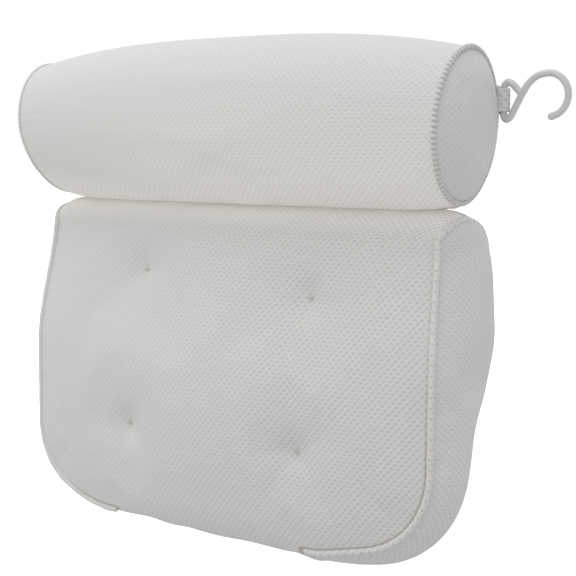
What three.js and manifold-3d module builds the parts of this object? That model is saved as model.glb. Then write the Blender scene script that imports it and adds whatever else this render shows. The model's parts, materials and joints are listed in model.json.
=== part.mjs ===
// Bath pillow of white air mesh: a stuffed neck roll, sewn along one seam to a tufted back cushion.
// Suction cups on the back hold it to a tub wall, and a plastic hook on one end hangs it up to dry.
// Millimetres, +Z up, the front faces -Y. The origin lies on the tub wall, level with the fold seam.

import * as THREE from 'three';
import { mergeVertices } from 'three/addons/utils/BufferGeometryUtils.js';
import Module from 'manifold-3d';

const wasm = await Module();
wasm.setup();

// Cover fabric and the gaps between sewn pieces
const COVER_THICKNESS = 4;
const SEAM_GAP = 0.3;
const FILL_GAP = 1.5;
const PIPING_RADIUS = 2.2;

// Suction cups
const CUP_RADIUS = 24.5;
const CUP_LIP = 4;
const CUP_HEIGHT = 12.6;
const CUP_NECK_RADIUS = 4;
const CUP_HEAD_RADIUS = 6.5;
const CUP_HEAD_THICKNESS = 3;
const TAB_LENGTH = 52;
const TAB_WIDTH = 24;
const TAB_THICKNESS = 1.3;
const TAB_ROOM = 3;
const TAB_SLOPE = 7;
const ROLL_CUP_SPACING = 92;
const CUSHION_CUP_SPACING = 120;
const CUSHION_CUP_DROP = 50;

// Neck roll
const ROLL_LENGTH = 370;
const ROLL_END_DEPTH = 84;
const ROLL_END_HEIGHT = 100;
const ROLL_SWELL = 14.5;
const SWELL_FLATNESS = 2.7;
const ROLL_PRESS = 5.5;
const ROLL_CROWN = 11;
const ROLL_RISE = 2.8;
const ROLL_SPLAY = 3;
const FRONT_SWELL_SHARE = 0.6;
const UNDER_SWELL_SHARE = 0.1;
const RIDGE_RADIUS = 2.4;

// Back cushion
const CUSHION_WIDTH = 384;
const CUSHION_HEIGHT = 244.5;
const UPPER_THICKNESS = 78;
const LOWER_THICKNESS = 40;
const GUSSET_BULGE = 11;
const TOP_ROUNDING = 20;
const TOP_CORNER = 20;
const TOP_NARROW = 9;
const TOP_RECEDE = 16;
const RECEDE_START = 118;
const RECEDE_END = 10;
const TOP_APEX = 0.4;
const BOTTOM_CORNER = 71;
const BACK_ROUNDING = 5;
const TAPER_START = 88;
const TAPER_END = 185;
const FOLD_HALF = 85;
const FOLD_DROP = 2.5;
const FRONT_CROWN = 17;
const CROWN_SKEW = 0.35;

// Sewn tufts
const TUFTS = [[-77, -54], [77, -65], [-77, -169], [77, -170]];
const TUFT_DEPTH = 11;
const TUFT_RADIUS = 16;
const TIE_RADIUS = 1.2;
const KNOT_RADIUS = 2.5;
const KNOT_THICKNESS = 1.4;

// Fold seam between the roll and the cushion
const FOLD_GAP = 1.8;
const FLAP_THICKNESS = 1.6;
const FLAP_LENGTH = 330;

// Drying hook and its fabric loop
const ROD_RADIUS = 2.35;
const LOOP_THICKNESS = 1.2;
const LOOP_WIDTH = 15;
const HOOK_RING_RADIUS = 14;
const HOOK_RING_REACH = 32.6;
const HOOK_RING_RISE = 3.6;
const HOOK_BACK = 30.5;
const HOOK_RISE = 17.2;
const HOOK_STANDOFF = 4.2;

const TURN_GAP = 0.4;
const TURN = 2 * Math.PI;

// How far a cutting block reaches past the part
const BEYOND = 120;

// Where the pieces meet
const cupStandoff = CUP_HEIGHT + TAB_THICKNESS + CUP_HEAD_THICKNESS + 3 * TURN_GAP;
const backPlane = -cupStandoff;
const frontPlane = backPlane - UPPER_THICKNESS;
const foldY = mix(frontPlane + TOP_RECEDE, backPlane, TOP_APEX);
const rollY = backPlane - ROLL_END_DEPTH / 2 - ROLL_PRESS;
const rollZ = ROLL_END_HEIGHT / 2 + ROLL_RISE;
const tubeHalf = ROLL_LENGTH / 2 - COVER_THICKNESS - SEAM_GAP;
const cushionTop = -FOLD_GAP;
const cushionBottom = cushionTop - CUSHION_HEIGHT;
const seamBox = seamBoxAt(0);

// Outline of the gusset seams, drawn in a little at a depth below the surface.
function seamBoxAt(inset) {
  const draw = inset / 4;
  return {
    halfWidth: CUSHION_WIDTH / 2 - GUSSET_BULGE - draw,
    top: cushionTop - TOP_ROUNDING - draw,
    bottom: cushionBottom + GUSSET_BULGE + draw,
    topRadius: TOP_CORNER - TOP_ROUNDING + 3 - draw,
    bottomRadius: BOTTOM_CORNER - GUSSET_BULGE - draw,
  };
}

const group = new THREE.Group();

const AIR_MESH = { color: 0xf1f0ed, roughness: 0.95, metalness: 0 };
const FIBRE = { color: 0xf7f5ee, roughness: 1, metalness: 0 };
const WEBBING = { color: 0xefefec, roughness: 0.85, metalness: 0 };
const THREAD = { color: 0xe9e8e4, roughness: 0.8, metalness: 0 };
const HOOK_PLASTIC = { color: 0xf6f6f5, roughness: 0.3, metalness: 0 };
const CLEAR_VINYL = { color: 0xdde5e8, roughness: 0.2, metalness: 0 };

function addMesh(name, geometry, finish, parent = group) {
  const mesh = new THREE.Mesh(geometry, new THREE.MeshStandardMaterial(finish));
  mesh.name = name;
  parent.add(mesh);
  return mesh;
}

function mix(a, b, t) {
  return a + (b - a) * t;
}

function smoothstep(from, to, value) {
  const t = Math.min(1, Math.max(0, (value - from) / (to - from)));
  return t * t * (3 - 2 * t);
}

// A geometry with shared corners and no collapsed triangles, its faces turned outwards.
function weld(geometry) {
  const bare = geometry.clone();
  bare.deleteAttribute('normal');
  bare.deleteAttribute('uv');
  const merged = mergeVertices(bare, 1e-4);
  const corners = merged.index.array;
  const position = merged.attributes.position;
  const kept = [];
  let volume = 0;
  const [a, b, c] = [new THREE.Vector3(), new THREE.Vector3(), new THREE.Vector3()];
  for (let i = 0; i < corners.length; i += 3) {
    const [p, q, r] = [corners[i], corners[i + 1], corners[i + 2]];
    if (p === q || q === r || r === p) continue;
    kept.push([p, q, r]);
    a.fromBufferAttribute(position, p);
    b.fromBufferAttribute(position, q);
    c.fromBufferAttribute(position, r);
    volume += a.dot(b.cross(c));
  }
  const faces = volume < 0 ? kept.map(([p, q, r]) => [p, r, q]) : kept;
  const welded = new THREE.BufferGeometry();
  welded.setAttribute('position', position.clone());
  welded.setIndex(faces.flat());
  welded.computeVertexNormals();
  return welded;
}

function toSolid(geometry) {
  const welded = weld(geometry);
  return new wasm.Manifold(new wasm.Mesh({
    numProp: 3,
    vertProperties: new Float32Array(welded.attributes.position.array),
    triVerts: new Uint32Array(welded.index.array),
  }));
}

function fromSolid(solid) {
  const mesh = solid.getMesh();
  const geometry = new THREE.BufferGeometry();
  geometry.setAttribute('position', new THREE.BufferAttribute(new Float32Array(mesh.vertProperties), 3));
  geometry.setIndex(new THREE.BufferAttribute(new Uint32Array(mesh.triVerts), 1));
  geometry.computeVertexNormals();
  return geometry;
}

function fromFaces(points, faces) {
  const geometry = new THREE.BufferGeometry();
  geometry.setFromPoints(points);
  geometry.setIndex(faces);
  return weld(geometry);
}

// The skin over a row of equal rings. A closed row runs round to its start, an open one gets flat ends.
function loft(rings, closed) {
  const size = rings[0].length;
  const count = rings.length;
  const faces = [];
  for (let i = 0; i < (closed ? count : count - 1); i += 1) {
    for (let j = 0; j < size; j += 1) {
      const near = i * size;
      const far = ((i + 1) % count) * size;
      const next = (j + 1) % size;
      faces.push(near + j, near + next, far + next, near + j, far + next, far + j);
    }
  }
  if (!closed) {
    const last = (count - 1) * size;
    for (let j = 1; j < size - 1; j += 1) {
      faces.push(0, j + 1, j, last, last + j, last + j + 1);
    }
  }
  return fromFaces(rings.flat(), faces);
}

function discShape(radius) {
  const shape = new THREE.Shape();
  shape.absarc(0, 0, radius, 0, TURN, false);
  return shape;
}

// A round rod along an open curve.
function rod(curve, radius, steps, sides) {
  const options = { steps, curveSegments: sides / 2, bevelEnabled: false, extrudePath: curve };
  return new THREE.ExtrudeGeometry(discShape(radius), options);
}

// A round cord along a closed row of spots, each a centre and the direction that points outwards there.
function closedCord(spots, radius, sides) {
  const count = spots.length;
  const rings = spots.map(({ centre, out }, i) => {
    const along = spots[(i + 1) % count].centre.clone().sub(spots[(i + count - 1) % count].centre);
    along.normalize();
    const normal = out.clone().addScaledVector(along, -out.dot(along)).normalize();
    const across = along.clone().cross(normal);
    return Array.from({ length: sides }, (_, j) => {
      const angle = (j / sides) * TURN;
      const point = centre.clone().addScaledVector(normal, radius * Math.cos(angle));
      return point.addScaledVector(across, radius * Math.sin(angle));
    });
  });
  return loft(rings, true);
}

// A plate of the given outline in X and Z, running from one Y to another.
function uprightPlate(outline, fromY, toY) {
  const shape = new THREE.Shape(outline.map(([x, z]) => new THREE.Vector2(x, -z)));
  const plate = new THREE.ExtrudeGeometry(shape, { depth: toY - fromY, bevelEnabled: false });
  plate.rotateX(-Math.PI / 2);
  return plate.translate(0, fromY, 0);
}

// A cylinder along Y.
function pin(radius, x, z, fromY, toY) {
  const cylinder = new THREE.CylinderGeometry(radius, radius, toY - fromY, 12);
  return cylinder.translate(x, (fromY + toY) / 2, z);
}

// The roll is a little longer along its top than along its sewn underside.
function splayed(x, z) {
  return x * (1 + (ROLL_SPLAY / (ROLL_LENGTH / 2)) * ((z - rollZ) / (ROLL_END_HEIGHT / 2)));
}

// Neck roll: an oval tube, fullest at mid length and pressed flat along its back.
function rollPoint(x, angle, inset) {
  const along = Math.abs(x) / (ROLL_LENGTH / 2);
  const swell = ROLL_SWELL * (1 - Math.min(1, along) ** SWELL_FLATNESS);
  const side = Math.cos(angle) < 0 ? FRONT_SWELL_SHARE : 1;
  const upright = Math.sin(angle) < 0 ? UNDER_SWELL_SHARE : 1;
  const grow = swell * (side * Math.cos(angle) ** 2 + upright * Math.sin(angle) ** 2) - inset;
  const y = rollY + (ROLL_END_DEPTH / 2 + grow) * Math.cos(angle);
  const z = rollZ + (ROLL_END_HEIGHT / 2 + grow) * Math.sin(angle);
  const outerZ = z + inset * Math.sin(angle);
  return new THREE.Vector3(splayed(x, outerZ), Math.min(y, backPlane - inset), z);
}

const ROLL_SEGMENTS = 32;
const ROLL_STATIONS = 12;

function rollRing(x, inset) {
  const ring = [];
  for (let j = 0; j < ROLL_SEGMENTS; j += 1) {
    ring.push(rollPoint(x, ((j + 0.5) / ROLL_SEGMENTS) * TURN, inset));
  }
  return ring;
}

// Rings closer together towards the ends, where the roll narrows.
function rollRings(half, inset) {
  const rings = [];
  for (let i = 0; i <= ROLL_STATIONS; i += 1) {
    rings.push(rollRing(-half * Math.cos((i / ROLL_STATIONS) * Math.PI), inset));
  }
  return rings;
}

function crownHeight(fraction) {
  return ROLL_CROWN * (1 - fraction ** 3);
}

// One ring of an end panel, shrunk towards the middle of the roll's end.
function endRing(side, fraction, offset, inset) {
  const x = side * (ROLL_LENGTH / 2 + crownHeight(fraction) + offset);
  return rollRing(ROLL_LENGTH / 2, inset).map((edge) => {
    const z = mix(rollZ, edge.z, fraction);
    return new THREE.Vector3(splayed(x, z), mix(rollY, edge.y, fraction), z);
  });
}

const END_FRACTIONS = [0.1, 0.55, 0.8, 0.92, 1];

function endPanel(side, outerOffset) {
  const outer = END_FRACTIONS.map((fraction) => endRing(side, fraction, outerOffset, 0));
  const inner = END_FRACTIONS.map((fraction) => endRing(side, fraction, -COVER_THICKNESS, 0));
  return loft([...outer, ...inner.reverse()], false);
}

function rollCover() {
  return loft([...rollRings(tubeHalf, 0), ...rollRings(tubeHalf, COVER_THICKNESS).reverse()], true);
}

function rollFill() {
  const inset = COVER_THICKNESS + FILL_GAP;
  const reach = -COVER_THICKNESS - FILL_GAP;
  const fractions = END_FRACTIONS.slice(0, 3);
  const left = fractions.map((fraction) => endRing(-1, fraction, reach, inset));
  const right = fractions.map((fraction) => endRing(1, fraction, reach, inset)).reverse();
  return loft([...left, ...rollRings(tubeHalf, inset), ...right], false);
}

// The thick ridge of stitching round a roll end, where the end panel meets the tube.
function endRidge(side) {
  const x = side * (ROLL_LENGTH / 2 - COVER_THICKNESS / 2);
  const middle = new THREE.Vector3(x, rollY, rollZ);
  const spots = rollRing(ROLL_LENGTH / 2, -RIDGE_RADIUS - SEAM_GAP).map((centre) => {
    const out = centre.clone().sub(middle).setX(0);
    centre.setX(splayed(x, centre.z));
    return { centre, out };
  });
  return closedCord(spots, RIDGE_RADIUS, 6);
}

// One near the top edge of the cushion, none from half way down.
function nearTop(z) {
  return smoothstep(-RECEDE_START, -RECEDE_END, z);
}

// The cushion is a little narrower along its top.
function narrowed(x, z) {
  return x * (1 - (TOP_NARROW / (CUSHION_WIDTH / 2)) * nearTop(z));
}

// Back cushion: a point of a box with round corners, from grid places between -1 and 1.
function roundedPoint(u, v, box) {
  const x = u * box.halfWidth;
  const z = mix(box.bottom, box.top, (v + 1) / 2);
  const radius = v > 0 ? box.topRadius : box.bottomRadius;
  const across = Math.abs(x) - (box.halfWidth - radius);
  const up = v > 0 ? z - (box.top - radius) : box.bottom + radius - z;
  if (across <= 0 || up <= 0) return [narrowed(x, z), z];
  const shrink = Math.max(across, up) / Math.hypot(across, up);
  const cornerZ = v > 0 ? box.top - radius + up * shrink : box.bottom + radius - up * shrink;
  return [narrowed(Math.sign(x) * (box.halfWidth - radius + across * shrink), cornerZ), cornerZ];
}

// The outermost line of the cushion, half way between its front and its back.
function rimPoint(u, v, inset) {
  const [x, z] = roundedPoint(u, v, {
    halfWidth: CUSHION_WIDTH / 2 - inset,
    top: cushionTop - inset,
    bottom: cushionBottom + inset,
    topRadius: TOP_CORNER - inset,
    bottomRadius: BOTTOM_CORNER - inset,
  });
  const drop = v < -0.999 ? FOLD_DROP * foldShare(x) : 0;
  return [x, z - drop];
}

// One where the front panel folds under the bottom edge, none where the gussets take over.
function foldShare(x) {
  return 1 - smoothstep(FOLD_HALF - 5, FOLD_HALF + 12, Math.abs(x));
}

// The front seams run down the front plane, which draws back towards the top.
function frontSheet(z) {
  return frontPlane + TOP_RECEDE * nearTop(z);
}

function backSurface(z) {
  const thinning = UPPER_THICKNESS - LOWER_THICKNESS;
  return backPlane - thinning * smoothstep(TAPER_START, TAPER_END, -z);
}

// The back panel lies flat and turns forward close to its seams.
function backPanel(u, v, z) {
  const inside = (1 - u * u) * (1 - v * v);
  return backSurface(z) - BACK_ROUNDING * (1 - smoothstep(0, 0.1, inside));
}

function tuftPull(x, z) {
  let pull = 0;
  for (const [tuftX, tuftZ] of TUFTS) {
    const reach = Math.hypot(x - tuftX, z - tuftZ) / TUFT_RADIUS;
    pull += TUFT_DEPTH / (1 + reach * reach) ** 1.5;
  }
  return pull;
}

function frontSurface(u, v, x, z) {
  const inside = (1 - u * u) * (1 - v * v);
  const crown = FRONT_CROWN * inside ** 0.75 * (1 - CROWN_SKEW * v);
  return frontSheet(z) - crown + tuftPull(x, z) * Math.min(1, 6 * inside);
}

// Grid lines from one edge to the other, close together at the tufts.
function gridLines(from, to, tufts) {
  const steps = [-30, -12, 0, 12, 30];
  const places = [from, to];
  for (const tuft of tufts) {
    for (const step of steps) {
      const place = tuft + step;
      if (place > from + 10 && place < to - 10) places.push(place);
    }
  }
  places.sort((a, b) => a - b);
  const spaced = places.filter((place, i) => i === 0 || place - places[i - 1] > 4);
  const lines = [spaced[0]];
  for (let i = 1; i < spaced.length; i += 1) {
    const parts = Math.ceil((spaced[i] - spaced[i - 1]) / 30);
    for (let k = 1; k <= parts; k += 1) {
      lines.push(mix(spaced[i - 1], spaced[i], k / parts));
    }
  }
  return lines.map((place) => (2 * (place - from)) / (to - from) - 1);
}

const columns = gridLines(-seamBox.halfWidth, seamBox.halfWidth, TUFTS.map(([x]) => x));
const rows = gridLines(seamBox.bottom, seamBox.top, TUFTS.map(([, z]) => z));
const BAND_STEPS = 3;

// Grid places once round the edge of the panels.
function edgePlaces() {
  const lastColumn = columns.length - 1;
  const lastRow = rows.length - 1;
  const places = [];
  for (let i = 0; i < lastColumn; i += 1) places.push([i, 0]);
  for (let j = 0; j < lastRow; j += 1) places.push([lastColumn, j]);
  for (let i = lastColumn; i > 0; i -= 1) places.push([i, lastRow]);
  for (let j = lastRow; j > 0; j -= 1) places.push([0, j]);
  return places;
}

// A point of the border between a panel's edge and the rim: flat sides, rounded top and bottom fold.
function borderPoint(u, v, share, front, inset) {
  const [seamX, seamZ] = roundedPoint(u, v, seamBoxAt(inset));
  const [rimX, rimZ] = rimPoint(u, v, inset);
  const top = smoothstep(cushionTop - TOP_CORNER, cushionTop - 4, rimZ);
  const round = Math.max(top, v < -0.999 ? foldShare(seamX) : 0);
  const out = mix(1 - (1 - share) ** 2, Math.sin((share * Math.PI) / 2), round);
  const deep = mix(share, 1 - Math.cos((share * Math.PI) / 2), round);
  const frontEdge = frontSheet(seamZ) + inset;
  const backEdge = backSurface(seamZ) - BACK_ROUNDING - inset;
  const middle = mix(frontEdge, backEdge, mix(0.5, TOP_APEX, top));
  return new THREE.Vector3(
    mix(seamX, rimX, out),
    mix(front ? frontEdge : backEdge, middle, deep),
    mix(seamZ, rimZ, out),
  );
}

// The whole closed cushion, or its inside at a given depth below the surface.
function cushionBody(inset) {
  const points = [];
  const faces = [];
  const width = columns.length;
  const panel = (front) => {
    const start = points.length;
    rows.forEach((v) => columns.forEach((u) => {
      const [x, z] = roundedPoint(u, v, seamBoxAt(inset));
      const y = front ? frontSurface(u, v, x, z) + inset : backPanel(u, v, z) - inset;
      points.push(new THREE.Vector3(x, y, z));
    }));
    for (let j = 0; j < rows.length - 1; j += 1) {
      for (let i = 0; i < width - 1; i += 1) {
        const a = start + j * width + i;
        const [b, c, d] = [a + 1, a + 1 + width, a + width];
        faces.push(...(front ? [a, b, c, a, c, d] : [a, c, b, a, d, c]));
      }
    }
    return start;
  };
  const frontStart = panel(true);
  const backStart = panel(false);
  const edge = edgePlaces();
  const bands = [edge.map(([i, j]) => frontStart + j * width + i)];
  for (let k = 1; k < 2 * BAND_STEPS; k += 1) {
    const front = k <= BAND_STEPS;
    const share = front ? k / BAND_STEPS : 2 - k / BAND_STEPS;
    bands.push(edge.map(([i, j]) => {
      points.push(borderPoint(columns[i], rows[j], share, front, inset));
      return points.length - 1;
    }));
  }
  bands.push(edge.map(([i, j]) => backStart + j * width + i));
  for (let k = 0; k < bands.length - 1; k += 1) {
    for (let q = 0; q < edge.length; q += 1) {
      const next = (q + 1) % edge.length;
      const [a, b] = [bands[k][q], bands[k][next]];
      const [c, d] = [bands[k + 1][next], bands[k + 1][q]];
      faces.push(a, c, b, a, d, c);
    }
  }
  return toSolid(fromFaces(points, faces));
}

// Outline of the front and back panels: the gusset seams, open to the top and to the bottom fold.
function panelOutline(grow) {
  const box = { ...seamBox, halfWidth: seamBox.halfWidth + grow, bottom: seamBox.bottom - grow };
  const right = [[FOLD_HALF + grow, cushionBottom - BEYOND], [FOLD_HALF + grow, box.bottom]];
  columns.forEach((u) => {
    const [x, z] = roundedPoint(u, -1, box);
    if (x > FOLD_HALF + 10) right.push([x, z]);
  });
  rows.slice(1).forEach((v) => right.push(roundedPoint(1, v, box)));
  const [rimX, rimZ] = rimPoint(1, 1, 0);
  right.push([rimX + grow, rimZ]);
  right.push([rimX + grow, cushionTop + BEYOND]);
  const left = right.map(([x, z]) => [-x, z]).reverse();
  return [...right, ...left];
}

function panelPrism(grow) {
  return toSolid(uprightPlate(panelOutline(grow), frontPlane - BEYOND, backPlane + BEYOND));
}

// Everything in front of the seam that joins the front panel to the back panel, above and below.
function frontRegion(shift) {
  const lowY = backSurface(cushionBottom) - BACK_ROUNDING - 2 * COVER_THICKNESS;
  const outline = [
    [frontPlane - BEYOND, BEYOND],
    [foldY + shift, BEYOND],
    [foldY + shift, seamBox.top],
    [lowY + shift, seamBox.bottom + 12],
    [lowY + shift, cushionBottom - BEYOND],
    [frontPlane - BEYOND, cushionBottom - BEYOND],
  ];
  const shape = new THREE.Shape(outline.map(([y, z]) => new THREE.Vector2(y, z)));
  const reach = 2 * CUSHION_WIDTH;
  const block = new THREE.ExtrudeGeometry(shape, { depth: reach, bevelEnabled: false });
  block.rotateX(Math.PI / 2).rotateZ(Math.PI / 2);
  return toSolid(block.translate(-reach / 2, 0, 0));
}

function sideBox(side) {
  const size = 2 * CUSHION_WIDTH;
  return toSolid(new THREE.BoxGeometry(size, size, size).translate((side * size) / 2, foldY, 0));
}

function tuftHoles(radius) {
  return TUFTS.map(([x, z]) => toSolid(pin(radius, x, z, frontPlane - BEYOND, backPlane + BEYOND)));
}

function pierced(solid, holes) {
  return holes.reduce((rest, hole) => rest.subtract(hole), solid);
}

// A thread through the cushion with a flat knot on each side.
function tuftTie(x, z) {
  const u = x / narrowed(seamBox.halfWidth, z);
  const v = (2 * (z - seamBox.bottom)) / (seamBox.top - seamBox.bottom) - 1;
  const front = frontSurface(u, v, x, z) - SEAM_GAP - 1.1 * KNOT_RADIUS;
  const back = backSurface(z + KNOT_RADIUS) + 2 * SEAM_GAP;
  const profile = [
    [0, front - KNOT_THICKNESS],
    [KNOT_RADIUS, front - KNOT_THICKNESS],
    [KNOT_RADIUS, front],
    [TIE_RADIUS, front],
    [TIE_RADIUS, back],
    [KNOT_RADIUS, back],
    [KNOT_RADIUS, back + KNOT_THICKNESS],
    [0, back + KNOT_THICKNESS],
  ];
  const points = profile.map(([radius, y]) => new THREE.Vector2(radius, y));
  return weld(new THREE.LatheGeometry(points, 10)).translate(x, 0, z);
}

// The piping round one gusset: down the front seam, under its end, up the back seam and over the top.
function gussetPiping(side) {
  const reach = PIPING_RADIUS + 2 * SEAM_GAP;
  const spots = [];
  const place = (x, y, z, outX, outY, outZ) => {
    const out = new THREE.Vector3(side * outX, outY, outZ).normalize();
    const centre = new THREE.Vector3(side * x, y, z).addScaledVector(out, reach);
    spots.push({ centre, out });
  };
  const cornerX = seamBox.halfWidth - seamBox.bottomRadius;
  const cornerZ = seamBox.bottom + seamBox.bottomRadius;
  const seam = [...rows].reverse().map((v) => roundedPoint(1, v, seamBox));
  [...columns].reverse().slice(1).forEach((u) => seam.push(roundedPoint(u, -1, seamBox)));
  const kept = seam.filter(([x], i) => i > 0 && x > FOLD_HALF + 8);
  const followSeam = (front, places) => places.forEach(([x, z]) => {
    const outX = Math.max(0, x - cornerX) + 1;
    const outZ = Math.min(0, z - cornerZ);
    const level = Math.hypot(outX, outZ);
    const y = front ? frontSheet(z) : backSurface(z) - BACK_ROUNDING;
    place(x, y, z, outX / level, front ? -1 : 1, outZ / level);
  });
  const followTop = (front, shares) => shares.forEach((share) => {
    const point = borderPoint(1, 1, share, front, 0);
    place(point.x, point.y, point.z, 0.6, (front ? -1 : 1) * (1 - share), share);
  });
  followSeam(true, kept);
  const lowBack = backSurface(cushionBottom) - BACK_ROUNDING;
  const lowY = (frontPlane + lowBack) / 2;
  const lowZ = cushionBottom - FOLD_DROP * foldShare(FOLD_HALF + 4);
  place(FOLD_HALF + 4, mix(frontPlane, lowY, 0.4), lowZ, 0, -0.5, -1);
  place(FOLD_HALF + 4, mix(lowBack, lowY, 0.4), lowZ, 0, 0.5, -1);
  followSeam(false, [...kept].reverse());
  followTop(false, [0, 1 / BAND_STEPS, 2 / BAND_STEPS]);
  followTop(true, [1, 2 / BAND_STEPS, 1 / BAND_STEPS, 0]);
  return closedCord(spots, PIPING_RADIUS, 6);
}

// The seam allowance of the cushion, a low upright flap below the fold line.
function cushionFlap() {
  const low = cushionTop + SEAM_GAP;
  const flap = new THREE.BoxGeometry(FLAP_LENGTH, FLAP_THICKNESS, -SEAM_GAP - low);
  return flap.translate(0, foldY, (low - SEAM_GAP) / 2);
}

function rollUnderside(x) {
  const toward = Math.acos((foldY - rollY) / (ROLL_END_DEPTH / 2 + 2));
  return rollPoint(x, -toward, -SEAM_GAP).z;
}

// The seam allowance of the roll, reaching from the fold line up to the underside of the roll.
function rollFlap() {
  const outline = [[-FLAP_LENGTH / 2, SEAM_GAP], [FLAP_LENGTH / 2, SEAM_GAP]];
  for (let k = 10; k >= 0; k -= 1) {
    const x = mix(-FLAP_LENGTH / 2, FLAP_LENGTH / 2, k / 10);
    outline.push([x, rollUnderside(x) - SEAM_GAP]);
  }
  return uprightPlate(outline, foldY - FLAP_THICKNESS / 2, foldY + FLAP_THICKNESS / 2);
}

// A soft suction cup with a mushroom head that buttons through its tab.
function suctionCup() {
  const shoulder = -CUP_HEIGHT;
  const neck = shoulder - TAB_THICKNESS - 2 * TURN_GAP;
  const profile = [
    [0, neck - CUP_HEAD_THICKNESS],
    [CUP_HEAD_RADIUS - 1, neck - CUP_HEAD_THICKNESS],
    [CUP_HEAD_RADIUS, neck],
    [CUP_NECK_RADIUS, neck],
    [CUP_NECK_RADIUS, shoulder],
    [2 * CUP_NECK_RADIUS, shoulder],
    [2.3 * CUP_NECK_RADIUS, 0.75 * shoulder],
    [0.7 * CUP_RADIUS, 0.42 * shoulder],
    [CUP_RADIUS - 0.8, 0.12 * shoulder],
    [CUP_RADIUS, 0],
    [CUP_RADIUS - CUP_LIP, 0],
    [0.66 * CUP_RADIUS, 0.24 * shoulder],
    [0.35 * CUP_RADIUS, 0.5 * shoulder],
    [0, 0.58 * shoulder],
  ];
  const points = profile.map(([radius, y]) => new THREE.Vector2(radius, y));
  return weld(new THREE.LatheGeometry(points, 16));
}

// The webbing tab that carries a cup, sewn down at both ends and raised over the cup's head.
function cupTab() {
  const low = backPlane + SEAM_GAP;
  const high = -CUP_HEIGHT - TAB_THICKNESS - TURN_GAP;
  const half = TAB_LENGTH / 2;
  const raised = CUP_HEAD_RADIUS + TAB_ROOM;
  const foot = raised + TAB_SLOPE;
  const under = [[-half, low], [-foot, low], [-raised, high], [raised, high], [foot, low], [half, low]];
  const over = under.map(([x, y]) => [x, y + TAB_THICKNESS]).reverse();
  const shape = new THREE.Shape([...under, ...over].map(([x, y]) => new THREE.Vector2(x, y)));
  const strip = new THREE.ExtrudeGeometry(shape, { depth: TAB_WIDTH, bevelEnabled: false });
  strip.translate(0, 0, -TAB_WIDTH / 2);
  const hole = pin(CUP_NECK_RADIUS + TURN_GAP, 0, 0, low - 10, high + 10);
  return fromSolid(toSolid(strip).subtract(toSolid(hole)));
}

const hookY = rollY + HOOK_BACK;
const hookZ = rollZ + HOOK_RISE;
const hookX = splayed(ROLL_LENGTH / 2 + crownHeight(0.8), hookZ) + HOOK_STANDOFF;

function hookPoint([x, z]) {
  return new THREE.Vector3(hookX + x, hookY, hookZ + z);
}

// One bent rod: the open ring, its stem and a three-sided frame whose upright bar hangs in the loop.
function dryingHook() {
  const path = [];
  for (let degrees = -88; degrees <= 92; degrees += 30) {
    const angle = THREE.MathUtils.degToRad(degrees);
    path.push([
      HOOK_RING_REACH + HOOK_RING_RADIUS * Math.cos(angle),
      HOOK_RING_RISE + HOOK_RING_RADIUS * Math.sin(angle),
    ]);
  }
  path.push([26, 16.2], [18.6, 12.2], [12.2, 4], [8.4, -5.5], [6.6, -10.6], [3.4, -12.6], [0.6, -10]);
  path.push([0, -6], [0, 0], [0, 6], [0.6, 9.4], [3, 11.8]);
  const main = new THREE.CatmullRomCurve3(path.map(hookPoint), false, 'centripetal');
  const leg = new THREE.CatmullRomCurve3([[3, 11.8], [6.4, 10.6], [9.4, 7], [12.6, 3.6]].map(hookPoint));
  const tip = hookPoint(path[0]);
  const ball = new THREE.SphereGeometry(1.12 * ROD_RADIUS, 12, 8).translate(tip.x, tip.y, tip.z);
  const bend = hookPoint([3, 11.8]);
  const knuckle = new THREE.SphereGeometry(1.02 * ROD_RADIUS, 12, 8).translate(bend.x, bend.y, bend.z);
  const pieces = [rod(main, ROD_RADIUS, 46, 8), rod(leg, ROD_RADIUS, 8, 8), ball, knuckle].map(toSolid);
  return fromSolid(pieces.reduce((whole, piece) => whole.add(piece)));
}

// The mesh loop sewn to the right end panel, folded round the upright bar of the hook.
function hookLoop() {
  const inner = ROD_RADIUS + TURN_GAP;
  const outer = inner + LOOP_THICKNESS;
  const reach = HOOK_STANDOFF + 8;
  const band = new THREE.Shape();
  band.moveTo(-reach, -outer);
  band.lineTo(0, -outer);
  band.absarc(0, 0, outer, -Math.PI / 2, Math.PI / 2, false);
  band.lineTo(-reach, outer);
  band.lineTo(-reach, inner);
  band.lineTo(0, inner);
  band.absarc(0, 0, inner, Math.PI / 2, -Math.PI / 2, true);
  band.lineTo(-reach, -inner);
  const neck = new THREE.Shape([
    new THREE.Vector2(-reach, -outer),
    new THREE.Vector2(-inner - 1, -outer),
    new THREE.Vector2(-inner - 1, outer),
    new THREE.Vector2(-reach, outer),
  ]);
  const options = { depth: LOOP_WIDTH, bevelEnabled: false, curveSegments: 6 };
  const [fold, root] = [band, neck].map((shape) => {
    const strip = new THREE.ExtrudeGeometry(shape, options);
    return toSolid(strip.translate(hookX, hookY, hookZ - LOOP_WIDTH / 2));
  });
  const panel = toSolid(endPanel(1, SEAM_GAP));
  const insideX = hookX - HOOK_STANDOFF - COVER_THICKNESS / 2 - BEYOND / 2;
  const inside = toSolid(new THREE.BoxGeometry(BEYOND, BEYOND, BEYOND).translate(insideX, hookY, hookZ));
  return fromSolid(fold.add(root).subtract(panel).subtract(inside));
}

function addRoll() {
  addMesh('roll_cover', rollCover(), AIR_MESH);
  addMesh('roll_fill', rollFill(), FIBRE);
  addMesh('roll_seam_flap', rollFlap(), AIR_MESH);
  for (const [name, side] of [['left', -1], ['right', 1]]) {
    addMesh(`roll_end_${name}`, endPanel(side, 0), AIR_MESH);
    addMesh(`roll_ridge_${name}`, endRidge(side), AIR_MESH);
  }
  addMesh('hook_loop', hookLoop(), AIR_MESH);
  addMesh('drying_hook', dryingHook(), HOOK_PLASTIC);
}

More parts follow.
